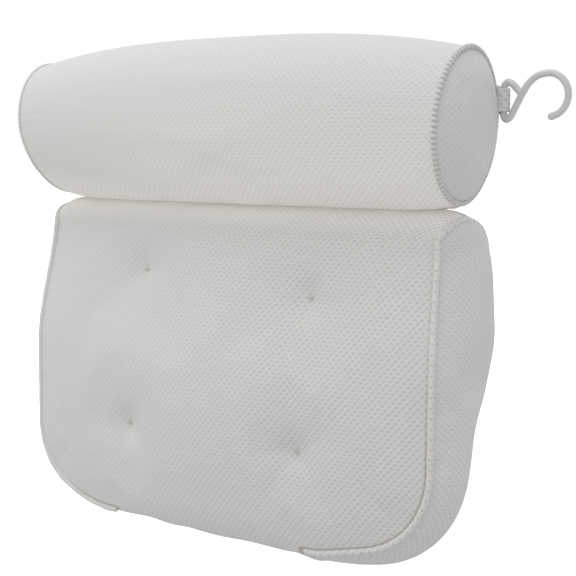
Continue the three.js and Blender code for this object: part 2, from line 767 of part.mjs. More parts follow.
function addCushion() {
  const shell = cushionBody(0).subtract(cushionBody(COVER_THICKNESS));
  const panels = shell.intersect(panelPrism(-SEAM_GAP / 2));
  const border = shell.subtract(panelPrism(SEAM_GAP / 2));
  const holes = tuftHoles(TIE_RADIUS + SEAM_GAP);
  const front = panels.intersect(frontRegion(-SEAM_GAP / 2));
  const back = panels.subtract(frontRegion(SEAM_GAP / 2));
  const fill = cushionBody(COVER_THICKNESS + FILL_GAP);
  addMesh('cushion_front', fromSolid(pierced(front, holes)), AIR_MESH);
  addMesh('cushion_back', fromSolid(pierced(back, holes)), AIR_MESH);
  addMesh('cushion_fill', fromSolid(pierced(fill, holes)), FIBRE);
  addMesh('cushion_seam_flap', cushionFlap(), AIR_MESH);
  for (const [name, side] of [['left', -1], ['right', 1]]) {
    addMesh(`gusset_${name}`, fromSolid(border.intersect(sideBox(side))), AIR_MESH);
    addMesh(`gusset_piping_${name}`, gussetPiping(side), AIR_MESH);
  }
  TUFTS.forEach(([x, z], i) => addMesh(`tuft_tie_${i + 1}`, tuftTie(x, z), THREAD));
}

function addCups() {
  const cups = [];
  for (const step of [-1, 0, 1]) {
    cups.push([`roll_${step + 2}`, step * ROLL_CUP_SPACING, rollZ]);
    cups.push([`cushion_${step + 2}`, step * CUSHION_CUP_SPACING, -CUSHION_CUP_DROP]);
  }
  for (const [name, x, z] of cups) {
    const seat = new THREE.Group();
    seat.position.set(x, 0, z);
    addMesh(`cup_tab_${name}`, cupTab(), WEBBING, seat);
    addMesh(`suction_cup_${name}`, suctionCup(), CLEAR_VINYL, seat);
    group.add(seat);
  }
}

addRoll();
addCushion();
addCups();

export default group;
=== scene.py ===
"""Bath pillow in white air mesh: a neck roll sewn to a tufted cushion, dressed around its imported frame."""

import json
import math

import bpy
import numpy as np
from mathutils import Matrix, Vector
from mathutils.kdtree import KDTree

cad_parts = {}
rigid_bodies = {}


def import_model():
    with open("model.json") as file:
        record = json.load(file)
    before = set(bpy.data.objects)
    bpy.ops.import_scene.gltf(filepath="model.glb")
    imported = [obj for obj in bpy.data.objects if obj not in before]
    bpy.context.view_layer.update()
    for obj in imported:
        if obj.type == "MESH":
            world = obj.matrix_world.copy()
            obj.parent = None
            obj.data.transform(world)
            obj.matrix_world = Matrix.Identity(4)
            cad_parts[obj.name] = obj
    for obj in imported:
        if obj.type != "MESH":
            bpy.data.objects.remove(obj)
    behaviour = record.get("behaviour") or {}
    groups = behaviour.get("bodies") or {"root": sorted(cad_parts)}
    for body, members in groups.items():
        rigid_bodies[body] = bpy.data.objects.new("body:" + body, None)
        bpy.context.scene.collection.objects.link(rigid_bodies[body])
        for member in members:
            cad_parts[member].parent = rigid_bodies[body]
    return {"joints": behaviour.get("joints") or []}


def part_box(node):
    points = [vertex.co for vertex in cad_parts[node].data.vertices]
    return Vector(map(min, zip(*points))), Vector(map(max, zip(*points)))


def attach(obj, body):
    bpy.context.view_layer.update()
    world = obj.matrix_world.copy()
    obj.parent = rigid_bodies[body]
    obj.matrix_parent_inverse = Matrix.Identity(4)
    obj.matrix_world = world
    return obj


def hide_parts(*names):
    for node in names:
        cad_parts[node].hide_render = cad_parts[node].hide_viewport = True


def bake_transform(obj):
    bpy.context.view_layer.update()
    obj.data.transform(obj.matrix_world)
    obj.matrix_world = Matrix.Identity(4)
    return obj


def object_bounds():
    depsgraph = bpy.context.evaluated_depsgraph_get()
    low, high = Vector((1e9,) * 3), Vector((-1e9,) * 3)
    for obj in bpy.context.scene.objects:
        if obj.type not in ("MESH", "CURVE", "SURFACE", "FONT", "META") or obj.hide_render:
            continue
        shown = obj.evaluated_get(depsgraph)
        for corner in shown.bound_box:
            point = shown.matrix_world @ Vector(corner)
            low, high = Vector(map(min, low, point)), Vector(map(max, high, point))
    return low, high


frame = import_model()
CAD_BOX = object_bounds()

bl_info = {
    "name": "Bath pillow",
    "version": (1, 0, 0),
    "blender": (4, 5, 0),
    "location": "3D View > Sidebar > Bath pillow",
    "description": "Dresses a bath pillow with mesh covers, seams, suction cups and a drying hook",
    "category": "Object",
}

SIDES = (("left", -1), ("right", 1))
TURN = 2 * math.pi
# Past this, a place on a cut cube lies on a face of the cube
EDGE = 1 - 1e-6
WEAVE = "weave"
SEAM_GAP = "seam_gap"
FRONT, BACK, LEFT, RIGHT = range(4)

# Places that the frame gives
PIVOTS = {joint["name"]: Vector(joint["pos_m"]) for joint in frame["joints"]}
FOLD_LINE = PIVOTS["roll_fold"]
HOOK_BAR = PIVOTS["hook_swing"]
CUP_JOINT = "cup_spin_"
CUPS = {name[len(CUP_JOINT):]: place for name, place in PIVOTS.items() if name.startswith(CUP_JOINT)}
FIRST_CUP = next(iter(CUPS.values()))


def corner(node, end):
    """The lowest (0) or highest (1) corner of a node of the frame."""
    return Vector(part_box(node)[end])


def middle_of(node):
    return (corner(node, 0) + corner(node, 1)) / 2


BACK_PLANE = corner("cushion_back", 1).y
ROLL_CENTRE = middle_of("roll_end_right")
GUSSET_SPAN = corner("gusset_right", 1).x - corner("gusset_left", 0).x
GUSSET_DROP = -corner("gusset_right", 0).z


def length(name, description, default):
    return bpy.props.FloatProperty(
        name=name, description=description, default=default, min=0, precision=4,
        unit="LENGTH", subtype="DISTANCE",
    )


def colour(name, description, default):
    return bpy.props.FloatVectorProperty(
        name=name, description=description, default=default, size=3, min=0, max=1, subtype="COLOR",
    )


def number(name, description, default):
    return bpy.props.FloatProperty(name=name, description=description, default=default, precision=3)


def count(name, description, default):
    return bpy.props.IntProperty(name=name, description=description, default=default, min=1)


class RollSizes(bpy.types.PropertyGroup):
    """The neck roll."""
    length: length("Length", "From end seam to end seam", 0.370)
    end_depth: length("End depth", "Depth of an end panel", 0.084)
    end_height: length("End height", "Height of an end panel", 0.100)
    swell: length("Swell", "How far the middle stands out past the ends", 0.0145)
    front_share: number("Front share", "Share of the swell along the front", 0.6)
    sag: length("Sag", "How far the underside hangs down into the fold", 0.0058)
    splay: length("Splay", "How far the right end seam leans out at its top", 0.003)
    left_splay: length("Left splay", "How far the left end seam leans out at its top", 0.007)
    left_tuck: length("Left tuck", "How far the left end is tucked in along its underside", 0.007)
    crown: length("Crown", "How far an end panel bulges", 0.011)
    ridge_width: length("Ridge width", "Width of the sewn ridge along the roll", 0.0036)
    ridge_height: length("Ridge height", "How thick the sewn ridge is across the seam", 0.0042)
    stitch_pitch: length("Stitch pitch", "Distance between the stitches of the ridge", 0.0034)
    gather: length("Gather", "Depth of the small gathers next to the end seams", 0.0005)


class CushionSizes(bpy.types.PropertyGroup):
    """The back cushion."""
    width: length("Width", "Over both gussets", GUSSET_SPAN + 0.003)
    top: length("Top", "Drop of the cushion's top edge below the fold line", -corner("cushion_front", 1).z)
    bottom: length("Bottom", "Drop of the bottom edge below the fold line", GUSSET_DROP - 0.0022)
    upper_thickness: length("Upper thickness", "Thickness along the top half", 0.078)
    lower_thickness: length("Lower thickness", "Thickness along the bottom edge", 0.040)
    bulge: length("Gusset bulge", "How far a gusset stands out past its seams", 0.014)
    top_rounding: length("Top rounding", "Drop of the front seam line below the top edge", 0.020)
    top_corner: length("Top corner", "Radius of the top corners", 0.021)
    bottom_corner: length("Bottom corner", "Radius of the bottom corners", 0.075)
    taper_start: length("Taper start", "Drop at which the back starts to come forward", 0.088)
    taper_end: length("Taper end", "Drop at which the back has come forward", 0.185)
    fold_left: length("Fold left", "Reach of the bottom fold from the middle to the left gusset", 0.096)
    fold_right: length("Fold right", "Reach of the bottom fold from the middle to the right gusset", 0.079)
    fold_drop: length("Fold drop", "How far the bottom fold hangs below the bottom corners", 0.0022)
    lip_drop: length("Lip drop", "How far the end of the right gusset hangs below the bottom corners", 0.0035)
    lip_seam: length("Lip seam", "How far the front seam dips towards the ends of the gussets", 0.008)
    crown: length("Crown", "How far the front panel bulges", 0.017)
    crown_skew: number("Crown skew", "How much of the bulge moves from the top to the bottom", 0.35)
    recede: length("Recede", "How far the front draws back towards the top", 0.016)
    recede_start: length("Recede start", "Drop at which the front starts to draw back", 0.118)
    recede_end: length("Recede end", "Drop at which the front has drawn back", 0.010)
    narrow: length("Narrow", "How much less the half width is along the top", 0.006)
    left_inset: length("Left inset", "How much less the left half width is than the right one", 0.002)
    left_corner: length("Left corner", "How much tighter the left bottom corner is than the right one", 0.008)
    shoulder: length("Shoulder", "How much fuller the right gusset is near its top", 0.0036)
    left_top: length("Left top", "How much less the left gusset stands out at its top", 0.004)
    back_flare: length("Back flare", "How far the back seams stand out behind the back", 0.0048)
    back_drop: length("Back drop", "How much lower the back seam's top is than the front seam's", 0.020)
    apex: number("Apex", "Where the top edge lies between the front (0) and the back (1)", 0.34)
    piping: length("Piping", "Radius of the piping along the gusset seams", 0.0023)
    piping_lift: number("Piping lift", "Share of its radius that the piping stands out", 0.1)


class TuftSizes(bpy.types.PropertyGroup):
    """The sewn tufts of the cushion."""
    depth: length("Depth", "How deep the cover is drawn in", 0.0087)
    radius: length("Radius", "Half width of the hollow", 0.020)
    pinch: length("Pinch", "Extra depth right at the thread", 0.0019)
    pucker: length("Pucker", "Height of the folds round a tuft", 0.0003)
    folds: count("Folds", "Folds round a tuft", 5)
    thread: length("Thread", "Thickness of the tuft thread", 0.0011)


class StuffingSettings(bpy.types.PropertyGroup):
    """How the covers are filled."""
    pressure: number("Pressure", "Pressure of the stuffing", 4.0)
    slack: number("Slack", "Share of spare fabric in a cover", 0.004)
    bending: number("Bending", "How stiff the fabric is against bending", 20.0)
    frames: count("Frames", "Steps of the filling", 20)
    front_limit: length("Front limit", "How far a front cover may move", 0.0022)
    back_limit: length("Back limit", "How far a back cover may move", 0.0006)
    cover: length("Cover", "Thickness of the mesh fabric", 0.0030)


class FabricSettings(bpy.types.PropertyGroup):
    """The knitted air mesh."""
    pitch: length("Hole pitch", "Distance between holes in a row", 0.0049)
    row: length("Row pitch", "Distance between rows of holes", 0.0027)
    knit: colour("Knit", "Colour of the knitted face", (0.715, 0.709, 0.700))
    # Painted shade inside the holes of the knit
    hole: colour("Hole", "Colour inside the holes", (0.605, 0.600, 0.590))
    # Painted light deep in the fold, a lighter beige that stands in for light passing through the mesh
    warm: colour("Warm", "Colour deep in the fold", (0.82, 0.80, 0.755))
    # Painted shade between the stitches of a seam and in the holes along a dotted piping
    gap: colour("Gap", "Colour between the stitches of a seam", (0.34, 0.335, 0.32))
    # Painted shade in the pinch right at a tuft
    pinched: colour("Pinched", "Colour of the cover right at a tuft", (0.56, 0.53, 0.47))
    # Painted shade deep in the groove beside a gusset seam
    crease: colour("Crease", "Colour deep beside a gusset seam", (0.43, 0.39, 0.35))
    depth: length("Relief", "Depth of the knit's relief", 0.0002)


class FittingSettings(bpy.types.PropertyGroup):
    """Cups, tapes and hook."""
    cup_radius: length("Cup radius", "Radius of a suction cup", 0.0245)
    cup_height: length("Cup height", "Height of a suction cup", 0.0126)
    neck_radius: length("Neck radius", "Radius of a cup's neck", 0.004)
    head_radius: length("Head radius", "Radius of a cup's head", 0.0065)
    head_thickness: length("Head thickness", "Thickness of a cup's head", 0.003)
    tape_length: length("Tape length", "Length of the tape that carries a cup", 0.052)
    tape_width: length("Tape width", "Width of the tape that carries a cup", 0.024)
    tape_thickness: length("Tape thickness", "Thickness of the tape", 0.0013)
    rod_radius: length("Rod radius", "Radius of the hook's rod", 0.00235)
    ring_radius: length("Ring radius", "Radius of the hook's ring", 0.014)
    loop_width: length("Loop width", "Height of the loop that holds the hook", 0.015)
    vinyl: colour("Vinyl", "Colour of the cups", (0.62, 0.68, 0.70))
    plastic: colour("Plastic", "Colour of the hook", (0.62, 0.62, 0.62))
    tape: colour("Tape", "Colour of the tapes", (0.70, 0.70, 0.69))
    thread: colour("Thread", "Colour of the sewing thread", (0.60, 0.58, 0.53))


class StageSettings(bpy.types.PropertyGroup):
    """Camera, light and floor."""
    azimuth: number("Azimuth", "Degrees from the front towards the right", 36.01)
    pitch: number("Pitch", "Degrees that the camera looks down", 5.99)
    lens: number("Lens", "Focal length in millimetres on a 36 mm sensor", 84.0)
    eye: bpy.props.FloatVectorProperty(
        name="Eye", description="Place of the camera",
        default=(0.6051, -0.8386, 0.0386), subtype="TRANSLATION",
    )
    roll: number("Roll", "Degrees that the camera leans", 0.31)
    floor_drop: length("Floor drop", "Distance from the cushion's bottom edge to the floor", 0.22)
    ambient: number("Ambient", "Strength of the surrounding light", 0.81)
    key: number("Key", "Watts of the overhead light", 9.2)
    fill: number("Fill", "Watts of the front light", 4.2)


class PillowSettings(bpy.types.PropertyGroup):
    """All settings of the bath pillow."""
    roll: bpy.props.PointerProperty(type=RollSizes)
    cushion: bpy.props.PointerProperty(type=CushionSizes)
    tuft: bpy.props.PointerProperty(type=TuftSizes)
    stuffing: bpy.props.PointerProperty(type=StuffingSettings)
    fabric: bpy.props.PointerProperty(type=FabricSettings)
    fitting: bpy.props.PointerProperty(type=FittingSettings)
    stage: bpy.props.PointerProperty(type=StageSettings)


def settings():
    return bpy.context.scene.bath_pillow


# Small tools for modelling

def deselect():
    if bpy.context.object and bpy.context.object.mode != "OBJECT":
        bpy.ops.object.mode_set(mode="OBJECT")
    bpy.ops.object.select_all(action="DESELECT")


def activate(piece):
    deselect()
    piece.select_set(True)
    bpy.context.view_layer.objects.active = piece


def named(piece, name):
    piece.name = name
    piece.data.name = name
    return piece


def added(name):
    """The primitive that was just added, under its own name."""
    return named(bpy.context.object, name)


def edit_all(piece):
    activate(piece)
    bpy.ops.object.mode_set(mode="EDIT")
    bpy.ops.mesh.select_all(action="SELECT")


def leave_edit():
    bpy.ops.object.mode_set(mode="OBJECT")


def select_none(kind):
    """Deselects all of the active mesh, in the select mode of edges or of faces."""
    bpy.ops.object.mode_set(mode="EDIT")
    bpy.ops.mesh.select_mode(type=kind)
    bpy.ops.mesh.select_all(action="DESELECT")
    leave_edit()


def places(piece):
    points = np.empty(3 * len(piece.data.vertices))
    piece.data.vertices.foreach_get("co", points)
    return points.reshape(-1, 3)


def move_to(piece, points):
    piece.data.vertices.foreach_set("co", np.asarray(points, float).ravel())
    piece.data.update()


def apply_modifier(piece, kind, **values):
    """Adds a modifier with these values and applies it."""
    modifier = piece.modifiers.new(kind.title(), kind)
    for key, value in values.items():
        setattr(modifier, key, value)
    activate(piece)
    bpy.ops.object.modifier_apply(modifier=modifier.name)


def subdivide(piece):
    apply_modifier(piece, "SUBSURF", levels=1, render_levels=1)


def face_outwards(piece, merge=1e-6):
    """Turns the faces outwards, after points closer than the merge distance are made one."""
    edit_all(piece)
    if merge:
        bpy.ops.mesh.remove_doubles(threshold=merge)
    bpy.ops.mesh.normals_make_consistent(inside=False)
    leave_edit()


def settle(piece, body, material, slot, *nodes):
    """Gives a finished mesh its material and smooth shading, and seats it in place of its nodes."""
    piece.data.materials.clear()
    piece.data.materials.append(material)
    activate(piece)
    bpy.ops.object.transform_apply(location=True, rotation=True, scale=True)
    bpy.ops.object.shade_smooth()
    if nodes:
        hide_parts(*nodes)
    if body:
        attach(piece, body)


def copy_piece(piece, name, shift):
    """A copy with a mesh of its own, moved by shift."""
    twin = piece.copy()
    twin.data = piece.data.copy()
    named(twin, name)
    twin.data.transform(Matrix.Translation(shift))
    bpy.context.scene.collection.objects.link(twin)
    return twin


def join(pieces, name):
    deselect()
    for piece in pieces:
        piece.select_set(True)
    bpy.context.view_layer.objects.active = pieces[0]
    bpy.ops.object.join()
    return added(name)


def smooth(low, high, value):
    share = np.clip((np.asarray(value, float) - low) / (high - low), 0, 1)
    return share * share * (3 - 2 * share)


def mix(a, b, share):
    return a + (b - a) * share


def block(name, cuts):
    """A cube from -1 to 1, cut into equal steps along each axis."""
    deselect()
    bpy.ops.mesh.primitive_cube_add(size=2)
    piece = added(name)
    for axis, steps in enumerate(cuts):
        select_none("EDGE")
        points = places(piece)
        for edge in piece.data.edges:
            start, end = (points[i] for i in edge.vertices)
            edge.select = bool(abs(start[axis] - end[axis]) > 1e-6)
        bpy.ops.object.mode_set(mode="EDIT")
        bpy.ops.mesh.subdivide(number_cuts=steps - 1)
        leave_edit()
    return piece


def face_corners(piece):
    """Vertex index of every corner of a mesh, and the face that each corner belongs to."""
    mesh = piece.data
    corners = np.empty(len(mesh.loops), int)
    mesh.loops.foreach_get("vertex_index", corners)
    totals = np.empty(len(mesh.polygons), int)
    mesh.polygons.foreach_get("loop_total", totals)
    return corners, np.repeat(np.arange(len(totals)), totals)


def face_means(corners, owners, values):
    """Mean of a value at the vertices of each face."""
    return np.bincount(owners, values[corners]) / np.bincount(owners)


def lay_weave(piece, along, across):
    """Writes the weave's map, in metres, at every corner of a mesh."""
    layers = piece.data.uv_layers
    if WEAVE not in layers:
        layers.new(name=WEAVE)
    for other in [item.name for item in layers if item.name != WEAVE]:
        layers.remove(layers[other])
    layers[WEAVE].data.foreach_set("uv", np.column_stack([along, across]).ravel())


def stuff(piece, held, limit):
    """Fills a sewn form with a short pressure simulation that holds its seams, and caps how far it moves."""
    stuffing = settings().stuffing
    start = places(piece)
    seams = piece.vertex_groups.new(name="seams")
    seams.add([int(i) for i in np.flatnonzero(held)], 1.0, "REPLACE")
    modifier = piece.modifiers.new("Stuffing", "CLOTH")
    cloth = modifier.settings
    cloth.vertex_group_mass = seams.name
    cloth.effector_weights.gravity = 0
    cloth.use_pressure = True
    cloth.uniform_pressure_force = stuffing.pressure
    cloth.shrink_min = -stuffing.slack
    cloth.bending_stiffness = stuffing.bending
    modifier.point_cache.frame_start = 1
    modifier.point_cache.frame_end = stuffing.frames
    scene = bpy.context.scene
    for step in range(1, stuffing.frames + 1):
        scene.frame_set(step)
    activate(piece)
    bpy.ops.object.modifier_apply(modifier=modifier.name)
    scene.frame_set(1)
    piece.vertex_groups.clear()
    moved = places(piece) - start
    reach = np.linalg.norm(moved, axis=1)
    share = np.minimum(1, limit / np.maximum(reach, 1e-9))
    move_to(piece, start + moved * share[:, None])


def mark_panels(piece, panels):
    """Notes on every face which panel it belongs to."""
    mark = piece.data.attributes.new("panel", "INT", "FACE")
    mark.data.foreach_set("value", np.asarray(panels, np.int32))


def mark_gaps(piece, line):
    """Notes at every point how far it lies from a line."""
    tree = KDTree(len(line))
    for index, point in enumerate(line):
        tree.insert(point, index)
    tree.balance()
    mark = piece.data.attributes.new(SEAM_GAP, "FLOAT", "POINT")
    mark.data.foreach_set("value", np.array([tree.find(point)[2] for point in places(piece)], np.float32))


def panel_marks(piece):
    values = np.empty(len(piece.data.polygons), np.int32)
    piece.data.attributes["panel"].data.foreach_get("value", values)
    return values


def take_faces(piece, chosen, name):
    """Separates the chosen faces of a mesh into a piece of their own."""
    activate(piece)
    before = set(bpy.data.objects)
    select_none("FACE")
    piece.data.polygons.foreach_set("select", chosen.astype(bool))
    bpy.ops.object.mode_set(mode="EDIT")
    bpy.ops.mesh.separate(type="SELECTED")
    leave_edit()
    return named(next(obj for obj in bpy.data.objects if obj not in before), name)


def thicken(piece, thickness):
    """Turns a sheet into a closed cover that keeps its outer face."""
    apply_modifier(piece, "SOLIDIFY", thickness=thickness, offset=-1, use_quality_normals=True)


def sheet_grid(name, steps_x, steps_y):
    """A flat grid from -1 to 1, with its points."""
    deselect()
    bpy.ops.mesh.primitive_grid_add(x_subdivisions=steps_x, y_subdivisions=steps_y, size=2)
    piece = added(name)
    return piece, places(piece)


def weave_from(piece, along, across):
    """Lays the weave's map from one value per vertex."""
    corners, _ = face_corners(piece)
    lay_weave(piece, along[corners], across[corners])


def travelled(points):
    """Distance along a line of points, from its start to each of them."""
    return np.append(0, np.cumsum(np.linalg.norm(np.diff(points, axis=0), axis=1)))


def units(vectors):
    return vectors / np.linalg.norm(vectors, axis=1)[:, None]


def closed_cord(name, path, outwards, section, sides=12):
    """A cord round a closed path. section(angle, i) gives its reach outwards and sideways at each step."""
    steps = len(path)
    along = units(np.roll(path, -1, axis=0) - np.roll(path, 1, axis=0))
    out = units(outwards - along * np.sum(outwards * along, axis=1)[:, None])
    side = np.cross(along, out)
    turn = np.arange(sides) / sides * TURN
    reach_out, reach_side = section(turn[None, :], np.arange(steps)[:, None])
    points = path[:, None] + reach_out[..., None] * out[:, None] + reach_side[..., None] * side[:, None]
    travel = travelled(np.vstack([path, path[:1]]))
    girth = TURN * float(np.mean(np.hypot(reach_out, reach_side)))
    piece, grid = sheet_grid(name, steps, sides)
    step = np.rint((grid[:, 0] + 1) / 2 * steps).astype(int)
    around = np.rint((grid[:, 1] + 1) / 2 * sides).astype(int)
    move_to(piece, points[step % steps, around % sides])
    weave_from(piece, travel[step], around / sides * girth)
    face_outwards(piece)
    return piece


def even_path(points, spacing):
    """A closed path at equal steps of about the given spacing. Columns after the third ride along."""
    closed = np.vstack([points, points[:1]])
    travel = travelled(closed[:, :3])
    steps = max(8, int(round(travel[-1] / spacing)))
    stops = np.arange(steps) / steps * travel[-1]
    return np.column_stack([np.interp(stops, travel, closed[:, k]) for k in range(points.shape[1])])


def soften_path(points, passes):
    for _ in range(passes):
        points = 0.5 * points + 0.25 * (np.roll(points, 1, axis=0) + np.roll(points, -1, axis=0))
    return points


# Materials

# The finish of all knitted faces
KNIT_FINISH = {"Roughness": 0.92, "Specular_IOR_Level": 0.2}
YARN_SCALE = 1500.0
# The holes, with their relief and painted shade, fade towards the left: where the fade starts and ends, and
# what is left of them
FADE = (-0.18, 0.14)
FADED = 0.35
# Painted light near the fold, a glow and a lighter beige colour in place of light that passes through the
# mesh:
# where it weakens towards the left and to which share, how close to the fold it doesn't, its strength, and
# the share of the beige colour
GLOW_SIDE = (-0.17, 0.0, 0.4, 1.0)
GLOW_FULL = 0.04
GLOW = 0.13
FOLD_LIGHT_SHARE = 0.8
# Painted shade at the tufts and beside the gusset seams: two distances or places, and the shares there
TUFT_SHADE = (0.0004, 0.0050, 0.40, 0.0)
SEAM_SHADE = (0.0026, 0.0044, 1.0, 0.0)
SEAM_HEIGHT = (-0.19, -0.08, 0.75, 0.15)
SEAM_SIDE = (-0.152, -0.128)


class Nodes:
    """Builds the node tree of a material or a world with short calls."""

    def __init__(self, owner):
        self.owner = owner
        owner.use_nodes = True
        self.tree = owner.node_tree
        self.tree.nodes.clear()

    def add(self, kind, inputs=(), **values):
        node = self.tree.nodes.new(kind)
        for key, value in values.items():
            setattr(node, key, value)
        for key, value in dict(inputs).items():
            if isinstance(value, bpy.types.NodeSocket):
                self.tree.links.new(value, node.inputs[key])
            else:
                node.inputs[key].default_value = value
        return node

    def math(self, operation, first, second=0.0):
        return self.add("ShaderNodeMath", {0: first, 1: second}, operation=operation).outputs[0]

    def ramp(self, value, start, end, low=0.0, high=1.0):
        inputs = {"Value": value, "From Min": start, "From Max": end, "To Min": low, "To Max": high}
        node = self.add("ShaderNodeMapRange", inputs, interpolation_type="SMOOTHSTEP")
        return node.outputs["Result"]

    def blend(self, share, first, second):
        inputs = {0: share, 6: first, 7: second}
        return self.add("ShaderNodeMix", inputs, data_type="RGBA").outputs[2]

    def noise(self, place, scale, detail=2.0):
        inputs = {"Vector": place, "Scale": scale, "Detail": detail}
        return self.add("ShaderNodeTexNoise", inputs).outputs["Fac"]

    def swing(self, place, scale):
        """A noise from -1 to 1."""
        return self.math("MULTIPLY", self.math("SUBTRACT", self.noise(place, scale), 0.5), 2.0)

    def bump(self, height, distance):
        inputs = {"Height": height, "Distance": distance, "Strength": 1.0}
        return self.add("ShaderNodeBump", inputs).outputs["Normal"]

    def place(self):
        """Place on the piece, in metres."""
        return self.add("ShaderNodeTexCoord").outputs["Object"]

    def weave(self):
        """Place along and across the weave, in metres."""
        weave = self.add("ShaderNodeUVMap", uv_map=WEAVE).outputs["UV"]
        parts = self.add("ShaderNodeSeparateXYZ", {0: weave})
        return parts.outputs[0], parts.outputs[1]

    def finish(self, **inputs):
        """Ends the tree in a principled shader with these inputs."""
        sockets = {key.replace("_", " "): value for key, value in inputs.items()}
        shader = self.add("ShaderNodeBsdfPrincipled", sockets)
        self.add("ShaderNodeOutputMaterial", {0: shader.outputs[0]})
        return self.owner


def fresh(name):
    """The empty node tree of a material, made once under its name."""
    return Nodes(bpy.data.materials.get(name) or bpy.data.materials.new(name))


def opaque(rgb, share=1.0):
    return (*(share * part for part in rgb), 1.0)


def air_mesh(name, contrast=1.0, fold_reach=0.0, tufts=()):
    """White knitted mesh with slanting rows of holes in painted shade; near the fold a lighter beige colour
    and a glow paint the light through it.
    """
    fabric = settings().fabric
    nodes = fresh(name)
    place = nodes.place()
    x, _, z = nodes.add("ShaderNodeSeparateXYZ", {0: place}).outputs
    along, across = nodes.weave()
    along = nodes.math("MULTIPLY", along, TURN / fabric.pitch)
    rows = nodes.math("MULTIPLY", across, TURN / (2 * fabric.row))
    uneven = nodes.swing(place, 240.0)
    rising = nodes.math("COSINE", nodes.math("ADD", nodes.math("SUBTRACT", rows, along), uneven))
    falling = nodes.math("COSINE", nodes.math("ADD", rows, along))
    level = nodes.math("COSINE", nodes.math("MULTIPLY", rows, 2.0))
    crossing = nodes.math("MULTIPLY", nodes.math("ADD", falling, level), 0.25)
    dots = nodes.math("ADD", nodes.math("MULTIPLY", rising, 0.6), crossing)
    fade = nodes.ramp(x, *FADE, FADED * contrast, contrast)
    # Share of the holes, which sets their relief and their painted shade; contrast scales it on each piece
    hole = nodes.math("MULTIPLY", nodes.ramp(dots, -0.1, 0.8), fade)
    yarn = nodes.math("MULTIPLY", nodes.noise(place, YARN_SCALE), 0.1)
    height = nodes.math("SUBTRACT", yarn, hole)
    cloud = nodes.ramp(nodes.noise(place, 9.0, 3.0), 0.3, 0.7, 0.0, 0.10)
    face = nodes.blend(cloud, opaque(fabric.knit), opaque(fabric.knit, 0.93))
    glow = 0.0
    # Painted light near the fold: a lighter beige colour and a glow
    if fold_reach:
        away = nodes.math("ABSOLUTE", z)
        beside = nodes.ramp(x, *GLOW_SIDE)
        spread = nodes.math("MAXIMUM", beside, nodes.ramp(away, 0.0, GLOW_FULL, 1.0, 0.0))
        near = nodes.math("MULTIPLY", nodes.ramp(away, 0.0, fold_reach, 1.0, 0.0), spread)
        face = nodes.blend(nodes.math("MULTIPLY", near, FOLD_LIGHT_SHARE), face, opaque(fabric.warm))
        glow = nodes.math("MULTIPLY", near, GLOW)
    # Painted shade in the holes
    shade = nodes.blend(hole, face, opaque(fabric.hole))
    flat = nodes.add("ShaderNodeCombineXYZ", {0: x, 2: z}).outputs[0]
    # Painted shade in the pinch of each tuft
    for tuft_x, tuft_z in tufts:
        ends = {0: flat, 1: (tuft_x, 0, tuft_z)}
        away = nodes.add("ShaderNodeVectorMath", ends, operation="DISTANCE").outputs["Value"]
        shade = nodes.blend(nodes.ramp(away, *TUFT_SHADE), shade, opaque(fabric.pinched))
    # Painted shade in the groove beside the gusset seams, stronger low down and none at the far left
    if tufts:
        gap = nodes.add("ShaderNodeAttribute", attribute_name=SEAM_GAP).outputs["Fac"]
        lips = nodes.math("MULTIPLY", nodes.ramp(z, *SEAM_HEIGHT), nodes.ramp(x, *SEAM_SIDE))
        crease = nodes.math("MULTIPLY", nodes.ramp(gap, *SEAM_SHADE), lips)
        shade = nodes.blend(crease, shade, opaque(fabric.crease))
    return nodes.finish(
        Base_Color=shade, Normal=nodes.bump(height, fabric.depth), Sheen_Weight=0.12, Sheen_Roughness=0.6,
        Emission_Color=opaque(fabric.warm), Emission_Strength=glow, **KNIT_FINISH,
    )


def stitched_edge(name, contrast, lightness=1.0, relief=1.0, dotted=False):
    """Mesh oversewn with even stitches, with painted shade between them, or dotted with the holes of the mesh
    in painted shade.
    """
    fabric = settings().fabric
    nodes = fresh(name)
    place = nodes.place()
    along, across = nodes.weave()
    uneven = nodes.swing(place, 300.0)
    turns = nodes.math("MULTIPLY", along, TURN / settings().roll.stitch_pitch)
    beat = nodes.math("COSINE", nodes.math("ADD", turns, uneven))
    if dotted:
        rows = nodes.math("MULTIPLY", across, TURN / (2 * fabric.row))
        slant = nodes.math("COSINE", nodes.math("ADD", rows, nodes.math("MULTIPLY", turns, 0.5)))
        beat = nodes.math("MULTIPLY", nodes.math("ADD", beat, slant), 0.5)
    # Share of painted shade between the stitches
    gap = nodes.math("MULTIPLY", nodes.ramp(beat, -0.9, 0.1, 1.0, 0.0), contrast)
    shade = nodes.blend(gap, opaque(fabric.knit, lightness), opaque(fabric.gap))
    height = nodes.math("ADD", beat, nodes.math("MULTIPLY", nodes.noise(place, YARN_SCALE), 0.3))
    return nodes.finish(Base_Color=shade, Normal=nodes.bump(height, relief * fabric.depth), **KNIT_FINISH)


def tape_material():
    """Plain woven tape with a fine rib across it, and painted shade in the hollows of the weave."""
    nodes = fresh("woven_tape")
    along, across = nodes.weave()
    warp = nodes.math("SINE", nodes.math("MULTIPLY", along, TURN / 0.0011))
    weft = nodes.math("SINE", nodes.math("MULTIPLY", across, TURN / 0.0008))
    height = nodes.math("MULTIPLY", warp, weft)
    # Painted shade where the weave dips
    tone = nodes.ramp(height, -1.0, 1.0, 0.25, 0.0)
    tape = settings().fitting.tape
    return nodes.finish(
        Base_Color=nodes.blend(tone, opaque(tape), opaque(tape, 0.7)), Roughness=0.85,
        Normal=nodes.bump(height, 0.0002), Specular_IOR_Level=0.25,
    )


